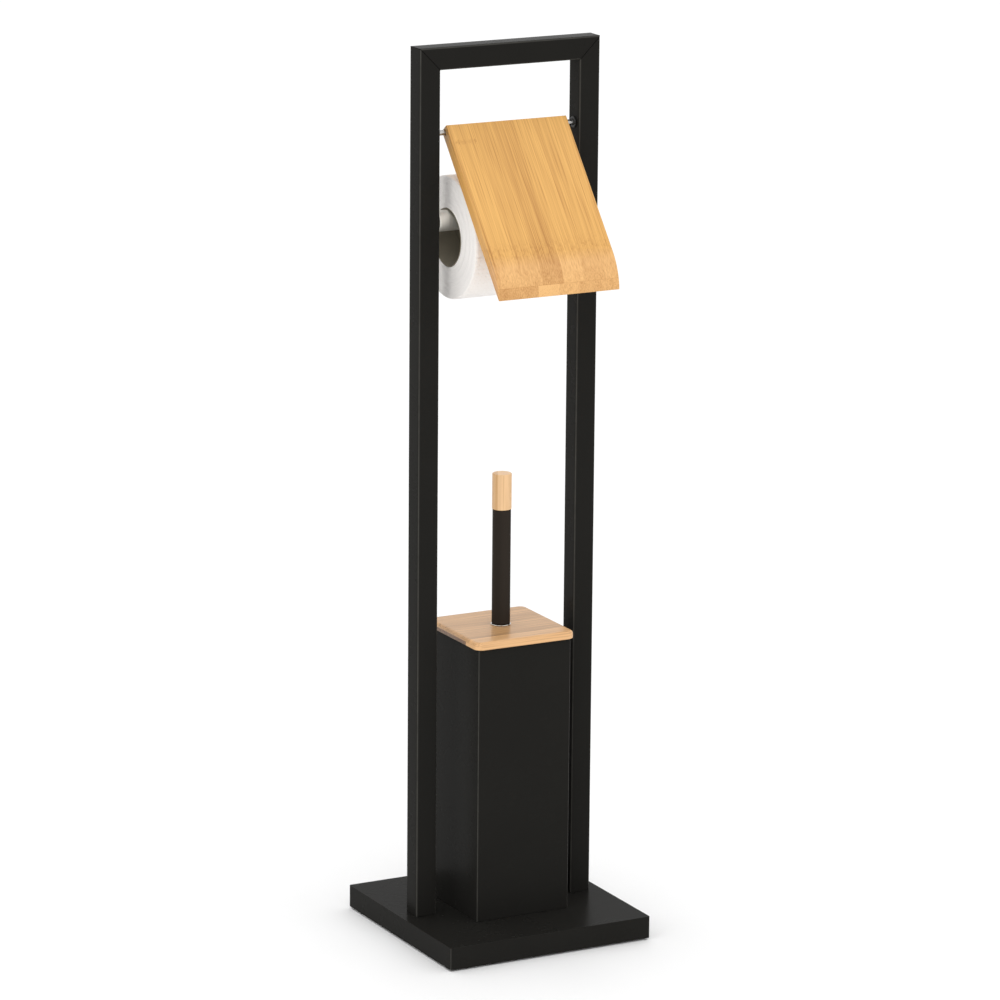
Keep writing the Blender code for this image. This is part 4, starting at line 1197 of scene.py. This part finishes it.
bristle_low, bristle_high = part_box("brush_bristles")
nylon_white = bristle_nylon("white_bristle")
mesh = grown(
    "tufts", bristle_tree, Rows=TUFT_ROWS, Tufts=TUFTS_PER_ROW, Strands=STRANDS_PER_TUFT,
    Core=(head_high.x - head_low.x) / 2 - 0.0005, Reach=(bristle_high.x - bristle_low.x) / 2,
    Round=BRISTLE_ROUND, Low=bristle_low.z, High=bristle_high.z,
    Strand_Radius=STRAND_RADIUS, Spread=TUFT_SPREAD, Finish=nylon_white,
)
shown("bristles", mesh, nylon_white, "brush", "white_bristle", "brush_bristles", sharp=70)


# ---------------------------------------------------------------------------------------------
# The room: a plain pale floor, soft light from a large tent of white with a wide ceiling light
# and two lamps, and the camera, which stands at the left of the front and looks a little down.

FLOOR_GREY = (0.92, 0.92, 0.92)
FLOOR_HALF = 40
TENT_STRENGTH = 1.0
LAMPS = (  # name, place, what it faces, size, watts
    ("key_light", (-0.9, -3.0, 2.6), (0, 0, 0.4), 1.6, 10),
    ("left_light", (-2.4, -1.2, 1.0), (0, 0, 0.5), 0.9, 3.5),
)
CEILING_STRENGTH = 0.5
CEILING_SPREAD = math.radians(120)
CEILING_TILT = math.radians(12)
VIEW_AZIMUTH = math.radians(-28.01)
VIEW_ELEVATION = math.radians(14.0)
VIEW_ROLL = math.radians(0.49)
CAMERA_PLACE = (-2.145, -4.029, 1.531)
LENS = 191.9  # millimetres, on a 36 mm sensor

floor_mesh = bpy.data.meshes.new("floor")
sides = ((-1, -1), (1, -1), (1, 1), (-1, 1))
floor_corners = [(x * FLOOR_HALF, y * FLOOR_HALF, 0) for x, y in sides]
floor_mesh.from_pydata(floor_corners, [], [(0, 1, 2, 3)])
floor = bpy.data.objects.new("floor", floor_mesh)
bpy.context.scene.collection.objects.link(floor)
floor_finish, tree, shader = new_finish("pale_floor", 0.7)
shader.inputs["Base Color"].default_value = (*FLOOR_GREY, 1)
floor_mesh.materials.append(floor_finish)

world = bpy.data.worlds.new("white_tent")
bpy.context.scene.world = world
world.use_nodes = True
world.node_tree.nodes["Background"].inputs["Color"].default_value = (1.0, 1.0, 1.0, 1)
world.node_tree.nodes["Background"].inputs["Strength"].default_value = TENT_STRENGTH

for name, spot, aim, size, power in LAMPS:
    lamp = bpy.data.lights.new(name, "AREA")
    lamp.shape = "SQUARE"
    lamp.size = size
    lamp.energy = power
    light = bpy.data.objects.new(name, lamp)
    light.location = spot
    light.rotation_euler = (Vector(aim) - Vector(spot)).to_track_quat("-Z", "Y").to_euler()
    bpy.context.scene.collection.objects.link(light)

ceiling = bpy.data.lights.new("ceiling_light", "SUN")
ceiling.energy = CEILING_STRENGTH
ceiling.angle = CEILING_SPREAD
light = bpy.data.objects.new("ceiling_light", ceiling)
light.rotation_euler = (CEILING_TILT, 0, 0)
bpy.context.scene.collection.objects.link(light)

back = Vector((
    math.sin(VIEW_AZIMUTH) * math.cos(VIEW_ELEVATION),
    -math.cos(VIEW_AZIMUTH) * math.cos(VIEW_ELEVATION),
    math.sin(VIEW_ELEVATION),
))
right = Vector((math.cos(VIEW_AZIMUTH), math.sin(VIEW_AZIMUTH), 0))
up = back.cross(right)
tilted_right = math.cos(VIEW_ROLL) * right + math.sin(VIEW_ROLL) * up
tilted_up = math.cos(VIEW_ROLL) * up - math.sin(VIEW_ROLL) * right
lens = bpy.data.cameras.new("camera")
lens.sensor_width = 36
lens.lens = LENS
lens.clip_end = 200
camera = bpy.data.objects.new("camera", lens)
facing = Matrix((tilted_right, tilted_up, back)).transposed().to_4x4()
camera.matrix_world = Matrix.Translation(CAMERA_PLACE) @ facing
bpy.context.scene.collection.objects.link(camera)
bpy.context.scene.camera = camera
bpy.context.scene.view_settings.view_transform = "Standard"
